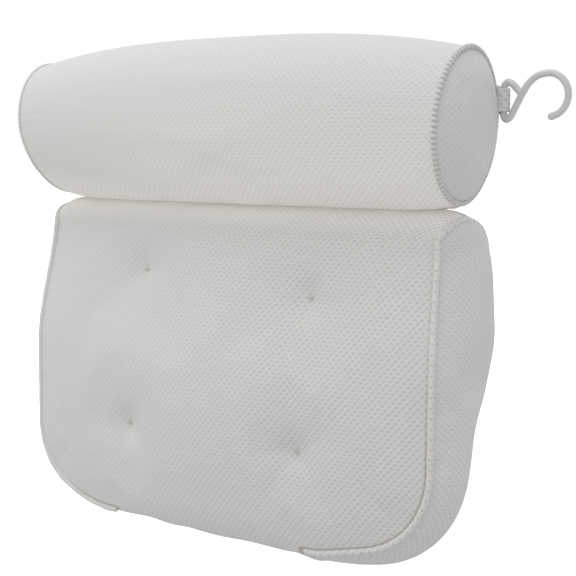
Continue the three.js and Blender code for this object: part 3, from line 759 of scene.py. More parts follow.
def marked(name, rgb, darker, share, scale, detail, roughness, spread=(0.3, 0.7), **inputs):
    """A plain material with faint darker marks, whose roughness may follow them."""
    nodes = fresh(name)
    marks = nodes.noise(nodes.place(), scale, detail)
    face = nodes.blend(nodes.ramp(marks, *spread, 0.0, share), opaque(rgb), opaque(rgb, darker))
    if isinstance(roughness, tuple):
        roughness = nodes.ramp(marks, *spread, *roughness)
    return nodes.finish(Base_Color=face, Roughness=roughness, Normal=nodes.bump(marks, 0.0001), **inputs)


def thread_material():
    """Twisted sewing thread."""
    thread = settings().fitting.thread
    return marked(
        "sewing_thread", thread, darker=0.75, share=0.3, scale=2200.0, detail=2.0, roughness=0.75,
        spread=(0.35, 0.65),
    )


def vinyl_material():
    """Milky soft vinyl with faint flow marks."""
    vinyl = settings().fitting.vinyl
    return marked(
        "soft_vinyl", vinyl, darker=0.88, share=0.25, scale=60.0, detail=3.0, roughness=(0.16, 0.26),
        Transmission_Weight=0.35, IOR=1.5,
    )


def plastic_material():
    """Glossy white moulded plastic with a very slight unevenness."""
    plastic = settings().fitting.plastic
    return marked(
        "hook_plastic", plastic, darker=0.92, share=0.1, scale=90.0, detail=2.0, roughness=(0.28, 0.38),
    )


# Neck roll

# How the ridges look at each end, with contrast the share of painted shade between the stitches, and the
# steps of their path for each stitch
RIDGE_LOOKS = {"left": {"contrast": 0.12, "relief": 0.4}, "right": {"contrast": 0.50}}
RIDGE_BEADS = {"left": 0.06, "right": 0.22}
RIDGE_FULLNESS = {"left": 0.6, "right": 1}
RIDGE_STEPS = 6
# How far the ridges stand off the seam, and how much thinner they are along the back
RIDGE_LIFT = 0.0004
RIDGE_THINNER = 0.6
# How far the gathers reach from an end seam, and how many there are round the roll
GATHER_REACH = 0.016
GATHERS = 44
# Higher keeps the swell and the sag full until closer to the ends, and the tuck closer to the underside
SWELL_CURVE = 2.7
SAG_CURVE = 14
TUCK_CURVE = 1.2
# While it is filled: what the fold holds of the underside, how near to the back plane a point counts as
# flat, and the share of a panel over which the filling eases in from a seam
HELD_UNDER = 0.12
FLAT_BACK = 0.002
SEAM_EASE = 0.2
# How much denser the weave is drawn on the end panels
END_DENSITY = 1.2
# Steps along, through and up the roll
ROLL_CUTS = (92, 24, 24)


def ring_angle(y, z):
    """Angle on the roll's ring for a place on the outline of a square from -1 to 1."""
    quarter = math.pi / 4
    front = math.pi - z * quarter
    top = math.pi / 2 - y * quarter
    back = z * quarter
    under = -math.pi / 2 + y * quarter
    return np.select([y <= -EDGE, z >= EDGE, y >= EDGE], [front, top, back], under)


def splayed(x, z):
    """The roll is a little longer along its top than along its underside."""
    roll = settings().roll
    lean = (z - ROLL_CENTRE.z) / (roll.end_height / 2)
    left = roll.left_splay * lean - roll.left_tuck * np.maximum(0, -lean) ** TUCK_CURVE
    reach = np.where(x < 0, left, roll.splay * lean)
    return x * (1 + reach / (roll.length / 2))


def roll_surface(x, angle, lift=0.0):
    """Points of the roll: an oval tube, fullest at mid length and pressed flat along its back."""
    roll = settings().roll
    along = np.minimum(1, np.abs(x) / (roll.length / 2))
    swell = roll.swell * (1 - along ** SWELL_CURVE)
    side = np.where(np.cos(angle) < 0, roll.front_share, 1)
    upright = np.where(np.sin(angle) < 0, roll.sag * (1 - along ** SAG_CURVE), swell)
    grow = swell * side * np.cos(angle) ** 2 + upright * np.sin(angle) ** 2 + lift
    y = ROLL_CENTRE.y + (roll.end_depth / 2 + grow) * np.cos(angle)
    z = ROLL_CENTRE.z + (roll.end_height / 2 + grow) * np.sin(angle)
    return np.stack(np.broadcast_arrays(splayed(x, z), np.minimum(y, BACK_PLANE + lift), z), axis=-1)


def roll_gathers(x, angle):
    """Small gathers of the cover that die out away from the end seams."""
    roll = settings().roll
    near = np.exp(-(roll.length / 2 - np.abs(x)) / GATHER_REACH)
    return -roll.gather * near * (1 + np.cos(GATHERS * angle + 3 * np.sin(5 * angle)))


def roll_block():
    """The closed roll as a cut cube bent to shape, with the places of its points on that cube."""
    roll = settings().roll
    piece = block("roll_tube", ROLL_CUTS)
    grid = places(piece)
    fraction = np.maximum(np.abs(grid[:, 1]), np.abs(grid[:, 2]))
    scale = np.maximum(fraction, 1e-9)
    angle = ring_angle(grid[:, 1] / scale, grid[:, 2] / scale)
    x = np.sin(grid[:, 0] * math.pi / 2) * roll.length / 2
    points = roll_surface(x, angle, roll_gathers(x, angle))
    on_end = np.abs(grid[:, 0]) > EDGE
    end_z = mix(ROLL_CENTRE.z, points[:, 2], fraction)
    end_x = splayed(x + np.sign(x) * roll.crown * (1 - fraction ** 3), end_z)
    end = np.column_stack([end_x, mix(ROLL_CENTRE.y, points[:, 1], fraction), end_z])
    move_to(piece, np.where(on_end[:, None], end, points))
    return piece, grid, angle


def roll_weave(piece, grid):
    """The weave's map: along and round the tube, and flat across the ends."""
    corners, owners = face_corners(piece)
    centres = [face_means(corners, owners, grid[:, k]) for k in range(3)]
    points = places(piece)
    ring = np.linspace(0, 4, 193)
    side = np.minimum(ring.astype(int), 3)
    step = 2 * (ring - side) - 1
    ring_y = np.select([side == 0, side == 1, side == 2], [-1 + 0 * step, step, 1 + 0 * step], -step)
    ring_z = np.select([side == 0, side == 1, side == 2], [step, 1 + 0 * step, -step], -1 + 0 * step)
    outline = roll_surface(0 * ring, ring_angle(ring_y, ring_z))
    travel = travelled(outline)
    faces = np.select([centres[1] < -EDGE, centres[2] > EDGE, centres[1] > EDGE], [0, 1, 2], 3)[owners]
    y, z = grid[corners, 1], grid[corners, 2]
    local = np.select([faces == 0, faces == 1, faces == 2], [z, y, -z], -y)
    across = np.interp(faces + (local + 1) / 2, ring, travel)
    on_end = (np.abs(centres[0]) > EDGE)[owners]
    lay_weave(
        piece,
        np.where(on_end, END_DENSITY * points[corners, 2], points[corners, 0]),
        np.where(on_end, END_DENSITY * points[corners, 1], across),
    )
    return centres[0]


def make_roll():
    """The tube and the two end panels of the neck roll, filled as one and then taken apart at the seams."""
    stuffing = settings().stuffing
    piece, grid, angle = roll_block()
    ends = roll_weave(piece, grid)
    mark_panels(piece, np.select([ends < -EDGE, ends > EDGE], [LEFT, RIGHT], FRONT))
    rim = (np.abs(grid[:, 0]) > EDGE) & (np.maximum(np.abs(grid[:, 1]), np.abs(grid[:, 2])) > EDGE)
    under = (np.abs(np.cos(angle)) < HELD_UNDER) & (np.sin(angle) < 0)
    flat = places(piece)[:, 1] > BACK_PLANE - FLAT_BACK
    sewn = np.where(np.abs(grid[:, 0]) > EDGE, np.max(np.abs(grid[:, 1:]), axis=1), np.abs(grid[:, 0]))
    ease = np.minimum(1, (1 - sewn) / SEAM_EASE)
    stuff(piece, rim | under, ease * np.where(flat, stuffing.back_limit, stuffing.front_limit))
    subdivide(piece)
    for name, side in SIDES:
        panel = take_faces(piece, panel_marks(piece) == (LEFT if side < 0 else RIGHT), f"end_panel_{name}")
        thicken(panel, stuffing.cover)
        settle(panel, "roll", air_mesh("air_mesh_end", contrast=0.5), "air_mesh", f"roll_end_{name}")
    thicken(piece, stuffing.cover)
    # The roll's painted light reaches far from the fold
    finish = air_mesh("air_mesh_roll", contrast=0.6, fold_reach=0.085)
    settle(piece, "roll", finish, "air_mesh", "roll_cover", "roll_fill")


def make_ridges():
    """The thick stitched ridge along each end seam of the roll."""
    roll = settings().roll
    fine = np.linspace(0, TURN, 720, endpoint=False)
    for name, side in SIDES:
        seam = roll_surface(0 * fine + side * roll.length / 2, fine, RIDGE_LIFT)
        path = even_path(seam, roll.stitch_pitch / RIDGE_STEPS)
        outwards = path * (0, 1, 1) - (0, ROLL_CENTRE.y, ROLL_CENTRE.z)
        rear = smooth(-0.2, 0.8, outwards[:, 1] / np.linalg.norm(outwards, axis=1))

        def section(turn, step):
            beat = 0.5 + 0.5 * np.cos(step / RIDGE_STEPS * TURN)
            beads = RIDGE_BEADS[name]
            swell = (1 - beads + beads * beat) * (1 - RIDGE_THINNER * rear[step]) * RIDGE_FULLNESS[name]
            return roll.ridge_height / 2 * swell * np.cos(turn), roll.ridge_width / 2 * swell * np.sin(turn)

        ridge = closed_cord(f"end_ridge_{name}", path, outwards, section)
        stitches = stitched_edge(f"stitched_ridge_{name}", **RIDGE_LOOKS[name])
        settle(ridge, "roll", stitches, "seam_edge", f"roll_ridge_{name}")


# Back cushion

# Where the bottom seam lies between the front (-1) and the back (1)
UNDER_SEAM = 0.6
# Share of the narrowing that the left side lacks, and the radius of the front seam's top corners
LEFT_WIDER = 0.35
SEAM_CORNER = 0.003
# Shares of the way from the middle to an edge, from where the front seam dips, the back seam drops and the
# back seam stands out, and how far below the top edge the rounding is complete
DIP_FROM = 0.75
DROP_FROM = 0.72
FLARE_FROM = 0.85
ROUND_BELOW = 0.004
# Past the bottom fold: over which stretch the cover turns into gusset, and where the lips die out
FOLD_TURN = (-0.001, 0.003)
LIP_SEAM_FADE = (0.005, 0.055)
LIP_FADE = (0.010, 0.055)
# The left lip rises where the right one hangs down, and the fold rises with it
LEFT_LIP = -1.2
FOLD_RISE = 0.0025
FOLD_TILT = (-0.11, -0.04)
# Heights between which the gussets gain and lose their fullness, and where the left part starts
SHOULDER_START = (-0.118, -0.075)
SHOULDER_END = (-0.045, -0.015)
LEFT_PART = -0.6
# The middle of the front draws back from further down than its seams do, by this share
GENTLE_START = 0.190
GENTLE_SHARE = 0.6
# Less than one makes the rounded top fuller towards the front seam
FRONT_FULLNESS = 0.9
# While it is filled: how fast the filling eases in from the seams of a panel and of the border,
# and how far the top may move, as a share of the other covers
PANEL_EASE = 5
BORDER_EASE = 2.5
TOP_EASE = 0.3
# How much denser the weave is drawn on the gussets, across and along them
GUSSET_DENSITY = (1.22, 1.12)
# Steps across, through and up the cushion
CUSHION_CUTS = (96, 22, 62)
# How the pipings look on each side, with contrast the share of painted shade between the stitches and in the
# holes where dotted, and the steps of their path for each stitch
PIPING_LOOKS = {
    "left": {"contrast": 0.05, "relief": 0.3},
    "right": {"contrast": 0.34, "lightness": 1.05, "relief": 0.5, "dotted": True},
}
PIPING_BEADS = {"left": 0.01, "right": 0.03}
PIPING_STEPS = 4
# Where the piping isn't shown it is sunk into the seam, by this share of its radius. Along the front seam
# on the left it goes part of the way
PIPING_SINK = -0.5
PIPING_PART = 0.3
# How far past the end of the fold the piping turns under
PIPING_PAST = 0.002
# How far inside the seams the places lie that the piping points away from
PIPING_CORE = 0.036
# How far the strip across the fold reaches past the flaps: sideways, down and up
STRIP_PAST = (0.010, 0.001, 0.002)
STRIP_THICKNESS = 0.0016


class CushionForm:
    """The cushion's surface over a cube from -1 to 1: u across, t from front to back, v upwards."""

    def __init__(self):
        pillow = settings()
        self.size = pillow.cushion
        self.tuft = pillow.tuft
        self.front_plane = BACK_PLANE - self.size.upper_thickness
        self.seam_half = self.size.width / 2 - self.size.bulge
        self.seam_top = -self.size.top - self.size.top_rounding
        self.seam_bottom = -self.size.bottom + self.size.bulge
        ties = [middle_of(f"tuft_tie_{number}") for number in range(1, 5)]
        self.tufts = [(tie.x, tie.z) for tie in ties]

    def near_top(self, z):
        """One near the top edge, none from half way down."""
        return smooth(-self.size.recede_start, -self.size.recede_end, z)

    def rounded(self, u, v, half, low, high, low_radius, high_radius):
        """A place on a plate with round corners that is a little narrower along its top."""
        x = u * half
        z = mix(low, high, (v + 1) / 2)
        left = np.where(u < 0, 1, 0)
        radius = np.where(v > 0, high_radius, low_radius - left * self.size.left_corner)
        across = np.abs(x) - (half - radius)
        up = np.where(v > 0, z - (high - radius), low + radius - z)
        inside = (across <= 0) | (up <= 0)
        shrink = np.where(inside, 1, np.maximum(across, up) / np.maximum(np.hypot(across, up), 1e-9))
        corner_x = np.sign(x) * (half - radius + across * shrink)
        corner_z = np.where(v > 0, high - radius + up * shrink, low + radius - up * shrink)
        z = np.where(inside, z, corner_z)
        less = self.size.narrow * self.near_top(z) * (1 - LEFT_WIDER * left) + left * self.size.left_inset
        return np.where(inside, x, corner_x) * (1 - less / half), z

    def seam(self, u, v):
        size = self.size
        low_radius = size.bottom_corner - size.bulge
        x, z = self.rounded(
            u, v, self.seam_half, self.seam_bottom, self.seam_top, low_radius, SEAM_CORNER,
        )
        dip = size.lip_seam * (1 - smooth(*LIP_SEAM_FADE, self.past_fold(x)))
        return x, z - dip * smooth(DIP_FROM, 1, -v)

    def past_fold(self, x):
        """How far a place lies outside the bottom fold."""
        return np.abs(x) - np.where(x < 0, self.size.fold_left, self.size.fold_right)

    def fold_share(self, x):
        """One where the front cover folds under the bottom edge, none where the gussets take over."""
        return 1 - smooth(*FOLD_TURN, self.past_fold(x))

    def rim(self, u, v):
        size = self.size
        x, z = self.rounded(
            u, v, size.width / 2, -size.bottom, -size.top, size.bottom_corner, size.top_corner,
        )
        lip = np.where(x < 0, LEFT_LIP, 1) * size.lip_drop * (1 - smooth(*LIP_FADE, self.past_fold(x)))
        drop = mix(-FOLD_RISE, size.fold_drop, smooth(*FOLD_TILT, x))
        high = smooth(*SHOULDER_END, z)
        shoulder = size.shoulder * smooth(*SHOULDER_START, z) * (1 - high)
        x = x + np.where(u > EDGE, shoulder, np.where(u < LEFT_PART, size.left_top * high, 0))
        return x, z - np.where(v < -EDGE, mix(lip, drop, self.fold_share(x)), 0)

    def sheet(self, z):
        """The plane of the front seams, which draws back towards the top."""
        return self.front_plane + self.size.recede * self.near_top(z)

    def back(self, z):
        size = self.size
        thinning = size.upper_thickness - size.lower_thickness
        return BACK_PLANE - thinning * smooth(size.taper_start, size.taper_end, -z)

    def pull(self, x, z):
        """How far the tufts draw the front cover in, with the folds that run into them."""
        tuft = self.tuft
        total = 0 * x
        for index, (tuft_x, tuft_z) in enumerate(self.tufts):
            away = np.hypot(x - tuft_x, z - tuft_z)
            turn = np.arctan2(z - tuft_z, x - tuft_x)
            hollow = tuft.depth / (1 + (away / tuft.radius) ** 2) ** 1.5
            pinch = tuft.pinch * np.exp(-away / (tuft.radius / 4))
            reach = away / tuft.radius
            folds = np.cos(tuft.folds * turn + 1.3 * index) + 0.5 * np.cos((tuft.folds - 2) * turn - index)
            total = total + hollow + pinch + tuft.pucker * folds * reach * np.exp(1 - 1.3 * reach)
        return total

    def front(self, u, v, x, z):
        inside = np.maximum(0, (1 - u * u) * (1 - v * v))
        crown = self.size.crown * inside ** 0.75 * (1 - self.size.crown_skew * v)
        gentle = self.front_plane + self.size.recede * smooth(-GENTLE_START, -self.size.recede_end, z)
        sheet = mix(self.sheet(z), gentle, GENTLE_SHARE * np.minimum(1, 2 * inside))
        return sheet - crown + self.pull(x, z) * np.minimum(1, 6 * inside)

    def point(self, u, t, v):
        """Points of the whole surface: the panels where t is -1 or 1, and the border between them."""
        size = self.size
        seam_x, seam_z = self.seam(u, v)
        seam_z = seam_z - np.where(t > 0, size.back_drop * smooth(DROP_FROM, 1, v), 0)
        rim_x, rim_z = self.rim(u, v)
        share = 1 - np.abs(t)
        top = smooth(-size.top - size.top_rounding, -size.top - ROUND_BELOW, rim_z)
        round_ = np.maximum(top, np.where(v < -EDGE, self.fold_share(seam_x), 0))
        fullness = mix(1, np.where(t < 0, FRONT_FULLNESS, 1), top)
        out = mix(1 - (1 - share) ** 2, np.sin(share * math.pi / 2) ** fullness, round_)
        deep = mix(share, 1 - np.cos(share * math.pi / 2), round_)
        back_edge = self.back(seam_z) + size.back_flare * smooth(FLARE_FROM, 1, np.abs(u))
        front_edge = self.sheet(seam_z)
        middle = mix(front_edge, back_edge, mix(0.5, size.apex, top))
        border_y = mix(np.where(t < 0, front_edge, back_edge), middle, deep)
        panel_y = np.where(t < 0, self.front(u, v, seam_x, seam_z), back_edge)
        on_panel = np.abs(t) > EDGE
        return np.stack([
            np.where(on_panel, seam_x, mix(seam_x, rim_x, out)),
            np.where(on_panel, panel_y, border_y),
            np.where(on_panel, seam_z, mix(seam_z, rim_z, out)),
        ], axis=-1)

    def fold_reach(self, side):
        return self.size.fold_left if side < 0 else self.size.fold_right

    def gusset_seam(self, side):
        """Points along the front seam of a gusset, from its top to its end at the bottom fold."""
        fine = np.linspace(0, 1, 240)
        one = 1 + 0 * fine
        fold_u = self.fold_reach(side) / self.seam_half
        down = self.point(side * one, -one, 1 - 2 * fine)
        return np.vstack([down, self.point(side * (1 - (1 - fold_u) * fine), -one, -one)])


def cushion_panels(grid, corners, owners):
    """Which cover each face of the cushion's block belongs to."""
    form = CushionForm()
    u, t, v = (face_means(corners, owners, grid[:, k]) for k in range(3))
    under = v < -EDGE
    gusset = (np.abs(u) > EDGE) | (under & (form.past_fold(u * form.seam_half) > 0))
    split = np.where(under, UNDER_SEAM, 0)
    return np.where(gusset, np.where(u < 0, LEFT, RIGHT), np.where(t < split, FRONT, BACK))


def cushion_weave(piece, grid, corners, owners, panels):
    """The weave's map: up the panels and over their rounded edges, and along the gussets."""
    form = CushionForm()
    size = form.size
    u, t, v = (grid[corners, k] for k in range(3))
    x, z = form.seam(u, v)
    share = 1 - np.abs(t)
    faces_v = face_means(corners, owners, grid[:, 2])[owners]
    turn = math.pi / 2 * math.hypot(size.top_rounding, size.upper_thickness / 2) / math.sqrt(2)
    fold = math.pi / 2 * math.hypot(size.bulge, size.lower_thickness / 2) / math.sqrt(2)
    rise = np.where(faces_v > EDGE, turn * share, np.where(faces_v < -EDGE, -fold * share, 0))
    fine = np.linspace(1, -1, 400)
    line_u = np.append(0 * fine + 1, fine[1:])
    line_v = np.append(fine, 0 * fine[1:] - 1)
    line = np.column_stack(form.seam(line_u, line_v))
    travel = travelled(line)
    step = np.where(faces_v < -EDGE, 1 + (1 - np.abs(u)), (1 - v) / 2)
    stops = np.append((1 - fine) / 2, 1 + (1 - fine[1:]))
    heading = units(np.gradient(line, axis=0))
    points = places(piece)[corners]
    aside = (np.abs(points[:, 0]) - np.abs(x)) * np.interp(step, stops, heading[:, 0])
    below = (points[:, 2] - z) * np.interp(step, stops, heading[:, 1])
    along_gusset = -np.interp(step, stops, travel) - aside - below
    panel = panels[owners]
    on_gusset = panel >= LEFT
    flip = np.where(panel == BACK, -1, 1)
    across = np.where(on_gusset, -GUSSET_DENSITY[0] * points[:, 1], x * flip)
    upwards = np.where(on_gusset, GUSSET_DENSITY[1] * along_gusset, z + rise)
    lay_weave(piece, across, upwards)


def cushion_seams(grid):
    """Points that the sewing holds: seams, fold line and tufts."""
    form = CushionForm()
    u, t, v = grid.T
    x, z = form.seam(u, v)
    on_panel = np.abs(t) > EDGE
    gusset_seam = on_panel & ((np.abs(u) > EDGE) | ((v < -EDGE) & (form.past_fold(x) > 0)))
    top_seam = (np.abs(u) > EDGE) & (v > EDGE)
    fold_seam = (v > EDGE) & (np.abs(t) < 1e-6)
    under_seam = (v < -EDGE) & (np.abs(t - UNDER_SEAM) < 0.05)
    held = gusset_seam | top_seam | fold_seam | under_seam
    for tuft_x, tuft_z in form.tufts:
        held |= on_panel & (np.hypot(x - tuft_x, z - tuft_z) < 0.003)
    return held


def make_cushion():
    """The front and back covers and the side gussets, filled as one and then taken apart at the seams."""
    stuffing = settings().stuffing
    form = CushionForm()
    piece = block("front_cover", CUSHION_CUTS)
    grid = places(piece)
    move_to(piece, form.point(*grid.T))
    corners, owners = face_corners(piece)
    panels = cushion_panels(grid, corners, owners)
    cushion_weave(piece, grid, corners, owners, panels)
    mark_panels(piece, panels)
    # Distance from the gusset seams, which places the painted shade beside them
    mark_gaps(piece, np.vstack([form.gusset_seam(side) for _, side in SIDES]))
    u, t, v = grid.T
    on_panel = np.abs(t) > EDGE
    ease = np.minimum(1, np.where(
        on_panel, PANEL_EASE * (1 - u * u) * (1 - v * v), BORDER_EASE * (1 - np.abs(t)),
    ))
    ease = ease * np.where(v > EDGE, TOP_EASE, 1)
    stuff(piece, cushion_seams(grid), ease * np.where(t > 0.5, stuffing.back_limit, stuffing.front_limit))
    subdivide(piece)
    covers = [
        (BACK, "back_cover", ("cushion_back",)),
        (LEFT, "side_gusset_left", ("gusset_left",)),
        (RIGHT, "side_gusset_right", ("gusset_right",)),
        (FRONT, "front_cover", ("cushion_front", "cushion_fill")),
    ]
    for panel, name, nodes in covers:
        if panel == FRONT:
            cover = piece
            # The front gets painted light near the fold, and painted shade at the tufts and beside the gusset
            # seams
            finish = air_mesh("air_mesh_front", contrast=1.0, fold_reach=0.026, tufts=form.tufts)
        else:
            cover = take_faces(piece, panel_marks(piece) == panel, name)
            finish = air_mesh("air_mesh_side", contrast=0.65)
        thicken(cover, stuffing.cover)
        settle(cover, "cushion", finish, "air_mesh", *nodes)


def make_piping():
    """The piping round each gusset: down the front seam, under its end, up the back seam and over the top."""
    form = CushionForm()
    radius = form.size.piping
    fine = np.linspace(0, 1, 240)
    one = 1 + 0 * fine
    for name, side in SIDES:
        fold_u = (form.fold_reach(side) + PIPING_PAST) / form.seam_half
        stretches = [
            (one, -fine, one),
            (one, -one, 1 - 2 * fine),
            (1 - (1 - fold_u) * fine, -one, -one),
            (fold_u * one, 2 * fine - 1, -one),
            (fold_u + (1 - fold_u) * fine, one, -one),
            (one, one, 2 * fine - 1),
            (one, 1 - fine, one),
        ]
        points = np.vstack([form.point(side * u, t, v)[:-1] for u, t, v in stretches])
        shown = 0 * fine
        beside = shown if side > 0 else PIPING_PART * (1 - smooth(0.8, 1, fine))
        hidden = np.vstack([beside[:1] + shown, beside, shown, smooth(0, 0.3, fine), one, one, one])
        lift = mix(form.size.piping_lift, PIPING_SINK, hidden[:, :-1].ravel())
        inner = np.column_stack([
            side * np.minimum(side * points[:, 0], form.seam_half - PIPING_CORE),
            0 * points[:, 0] + (form.front_plane + form.back(points[:, 2])) / 2,
            np.clip(points[:, 2], form.seam_bottom + PIPING_CORE, form.seam_top - PIPING_CORE),
        ])
        stations = np.hstack([points, units(points - inner), lift[:, None]])
        path = soften_path(even_path(stations, settings().roll.stitch_pitch / PIPING_STEPS), 8)
        out = path[:, 3:6]
        line = path[:, :3] + out * radius * path[:, 6:]

        def section(turn, step):
            beads = PIPING_BEADS[name] * np.cos(step / PIPING_STEPS * TURN)
            ripple = 1 + beads + 0.04 * np.cos(0.31 * step)
            return radius * ripple * np.cos(turn), radius * ripple * np.sin(turn)

        piping = closed_cord(f"side_piping_{name}", line, out, section)
        stitches = stitched_edge(f"stitched_piping_{name}", **PIPING_LOOKS[name])
        settle(piping, "cushion", stitches, "seam_edge", f"gusset_piping_{name}")


def make_fold_seam():
    """The strip of mesh that hinges the roll on the cushion, laid across the fold."""
    reach = corner("roll_seam_flap", 1).x + STRIP_PAST[0]
    low = corner("cushion_seam_flap", 0).z - STRIP_PAST[1]
    high = corner("roll_seam_flap", 1).z + STRIP_PAST[2]
    strip, grid = sheet_grid("fold_seam", 110, 12)
    x = grid[:, 0] * reach
    tall = np.sqrt(np.maximum(0, 1 - np.abs(grid[:, 0]) ** 12))
    z = FOLD_LINE.z + mix(low, high, (grid[:, 1] + 1) / 2) * (0.15 + 0.85 * tall)
    ripple = 0.0003 * np.sin(x * TURN / 0.021) * np.cos(grid[:, 1] * 1.5)
    move_to(strip, np.column_stack([x, FOLD_LINE.y - STRIP_THICKNESS / 2 + ripple, z]))
    weave_from(strip, x, z)
    apply_modifier(strip, "SOLIDIFY", thickness=STRIP_THICKNESS, offset=0)
    face_outwards(strip)
    # The strip gets painted light near the fold as well
    finish = air_mesh("air_mesh_fold", contrast=0.4, fold_reach=0.040)
    settle(strip, None, finish, "air_mesh", "roll_seam_flap", "cushion_seam_flap")
    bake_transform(strip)


def bent_rod(name, points, radius, cyclic=False):
    """A round rod through the points, with capped ends."""
    deselect()
    bpy.ops.curve.primitive_bezier_curve_add()
    piece = bpy.context.object
    piece.data.splines.clear()
    spline = piece.data.splines.new("BEZIER")
    spline.bezier_points.add(len(points) - 1)
    for knot, point in zip(spline.bezier_points, points):
        knot.co = point
        knot.handle_left_type = "AUTO"
        knot.handle_right_type = "AUTO"
    spline.use_cyclic_u = cyclic
    piece.data.bevel_depth = radius
    piece.data.bevel_resolution = 6
    piece.data.use_fill_caps = True
    bpy.ops.object.convert(target="MESH")
    return added(name)


def make_tufts():
    """The thread of each tuft: a stitch in the hollow, the thread through the fill and a knot behind."""
    form = CushionForm()
    radius = form.tuft.thread / 2
    thread = thread_material()
    for index, (x, z) in enumerate(form.tufts):
        u = np.array([x / form.seam_half])
        v = np.array([2 * (z - form.seam_bottom) / (form.seam_top - form.seam_bottom) - 1])
        front = float(form.front(u, v, np.array([x]), np.array([z]))[0])
        back = float(form.back(z))
        half = 2.2 * form.tuft.thread
        stitch = bent_rod("stitch", [
            (x - half, front + 0.0040, z + 0.0004), (x - 0.8 * half, front - 0.0010, z + 0.0002),
            (x, front - 0.0018, z), (x + 0.8 * half, front - 0.0010, z - 0.0002),
            (x + half, front + 0.0040, z - 0.0004),
        ], radius)
        shank = bent_rod("shank", [(x, front, z), (x, (front + back) / 2, z), (x, back + 0.0006, z)], radius)
        wrap = 1.7 * radius
        knot = bent_rod("knot", [(
            x + wrap * math.cos(turn), back + 0.0004 + 0.0003 * math.sin(2 * turn), z + wrap * math.sin(turn),
        ) for turn in np.linspace(0, TURN, 9)[:-1]], 1.1 * radius, cyclic=True)
        tails = [bent_rod("tail", [
            (x, back + 0.0006, z), (x + side * 0.0020, back + 0.0012, z - 0.0022),
            (x + side * 0.0034, back + 0.0008, z - 0.0058),
        ], 0.7 * radius) for side in (-1, 1)]
        tie = join([stitch, shank, knot, *tails], f"tuft_thread_{index + 1}")
        settle(tie, "cushion", thread, "thread", f"tuft_tie_{index + 1}")


# Cups, tapes and hook

def cup_body(name):
    """The body that carries a cup, which the cup's name starts with."""
    return name.rsplit("_", 1)[0]


def make_cups():
    """The soft suction cups, turned from one profile and copied to each place."""
    fitting = settings().fitting
    shoulder = -fitting.cup_height
    neck = shoulder - fitting.tape_thickness - 0.0008
    head = neck - fitting.head_thickness
    rim = fitting.cup_radius
    wide, slim = fitting.head_radius, fitting.neck_radius
    profile = [
        (0, head), (0.6 * wide, head), (wide - 0.0006, head + 0.0006), (wide, head + 0.0018),
        (wide - 0.0005, neck - 0.0002), (slim, neck), (slim, shoulder), (1.8 * slim, shoulder),
        (2.1 * slim, 0.93 * shoulder), (2.3 * slim, 0.75 * shoulder), (0.50 * rim, 0.60 * shoulder),
        (0.7 * rim, 0.42 * shoulder), (0.88 * rim, 0.22 * shoulder), (rim - 0.0006, 0.08 * shoulder),
        (rim, 0.02 * shoulder), (rim - 0.0004, 0), (rim - 0.004, 0), (0.66 * rim, 0.24 * shoulder),
        (0.35 * rim, 0.5 * shoulder), (0, 0.58 * shoulder),
    ]
    deselect()
    bpy.ops.mesh.primitive_circle_add(vertices=len(profile), fill_type="NOTHING")
    cup = added("vinyl_cup")
    move_to(cup, [(FIRST_CUP.x + radius, y, FIRST_CUP.z) for radius, y in profile])
    edit_all(cup)
    bpy.ops.mesh.spin(steps=48, angle=TURN, center=(FIRST_CUP.x, 0, FIRST_CUP.z), axis=(0, 1, 0))
    leave_edit()
    face_outwards(cup, 1e-5)
    subdivide(cup)
    vinyl = vinyl_material()
    for name, place in CUPS.items():
        twin = copy_piece(cup, f"vinyl_cup_{name}", place - FIRST_CUP)
        settle(twin, f"cup_{name}", vinyl, "clear_vinyl", f"suction_cup_{name}")
    bpy.data.objects.remove(cup)


def stitch_row(name, ends, radius):
    """A row of short stitches, one for each pair of end points."""
    stitches = []
    for start, end in ends:
        deselect()
        bpy.ops.mesh.primitive_uv_sphere_add(segments=8, ring_count=6, radius=1)
        stitch = added("stitch")
        along = Vector(end) - Vector(start)
        turn = along.to_track_quat("Z", "Y").to_matrix().to_4x4()
        size = Matrix.Diagonal((radius, radius, along.length / 2, 1))
        stitch.data.transform(Matrix.Translation((Vector(start) + Vector(end)) / 2) @ turn @ size)
        stitches.append(stitch)
    return join(stitches, name)


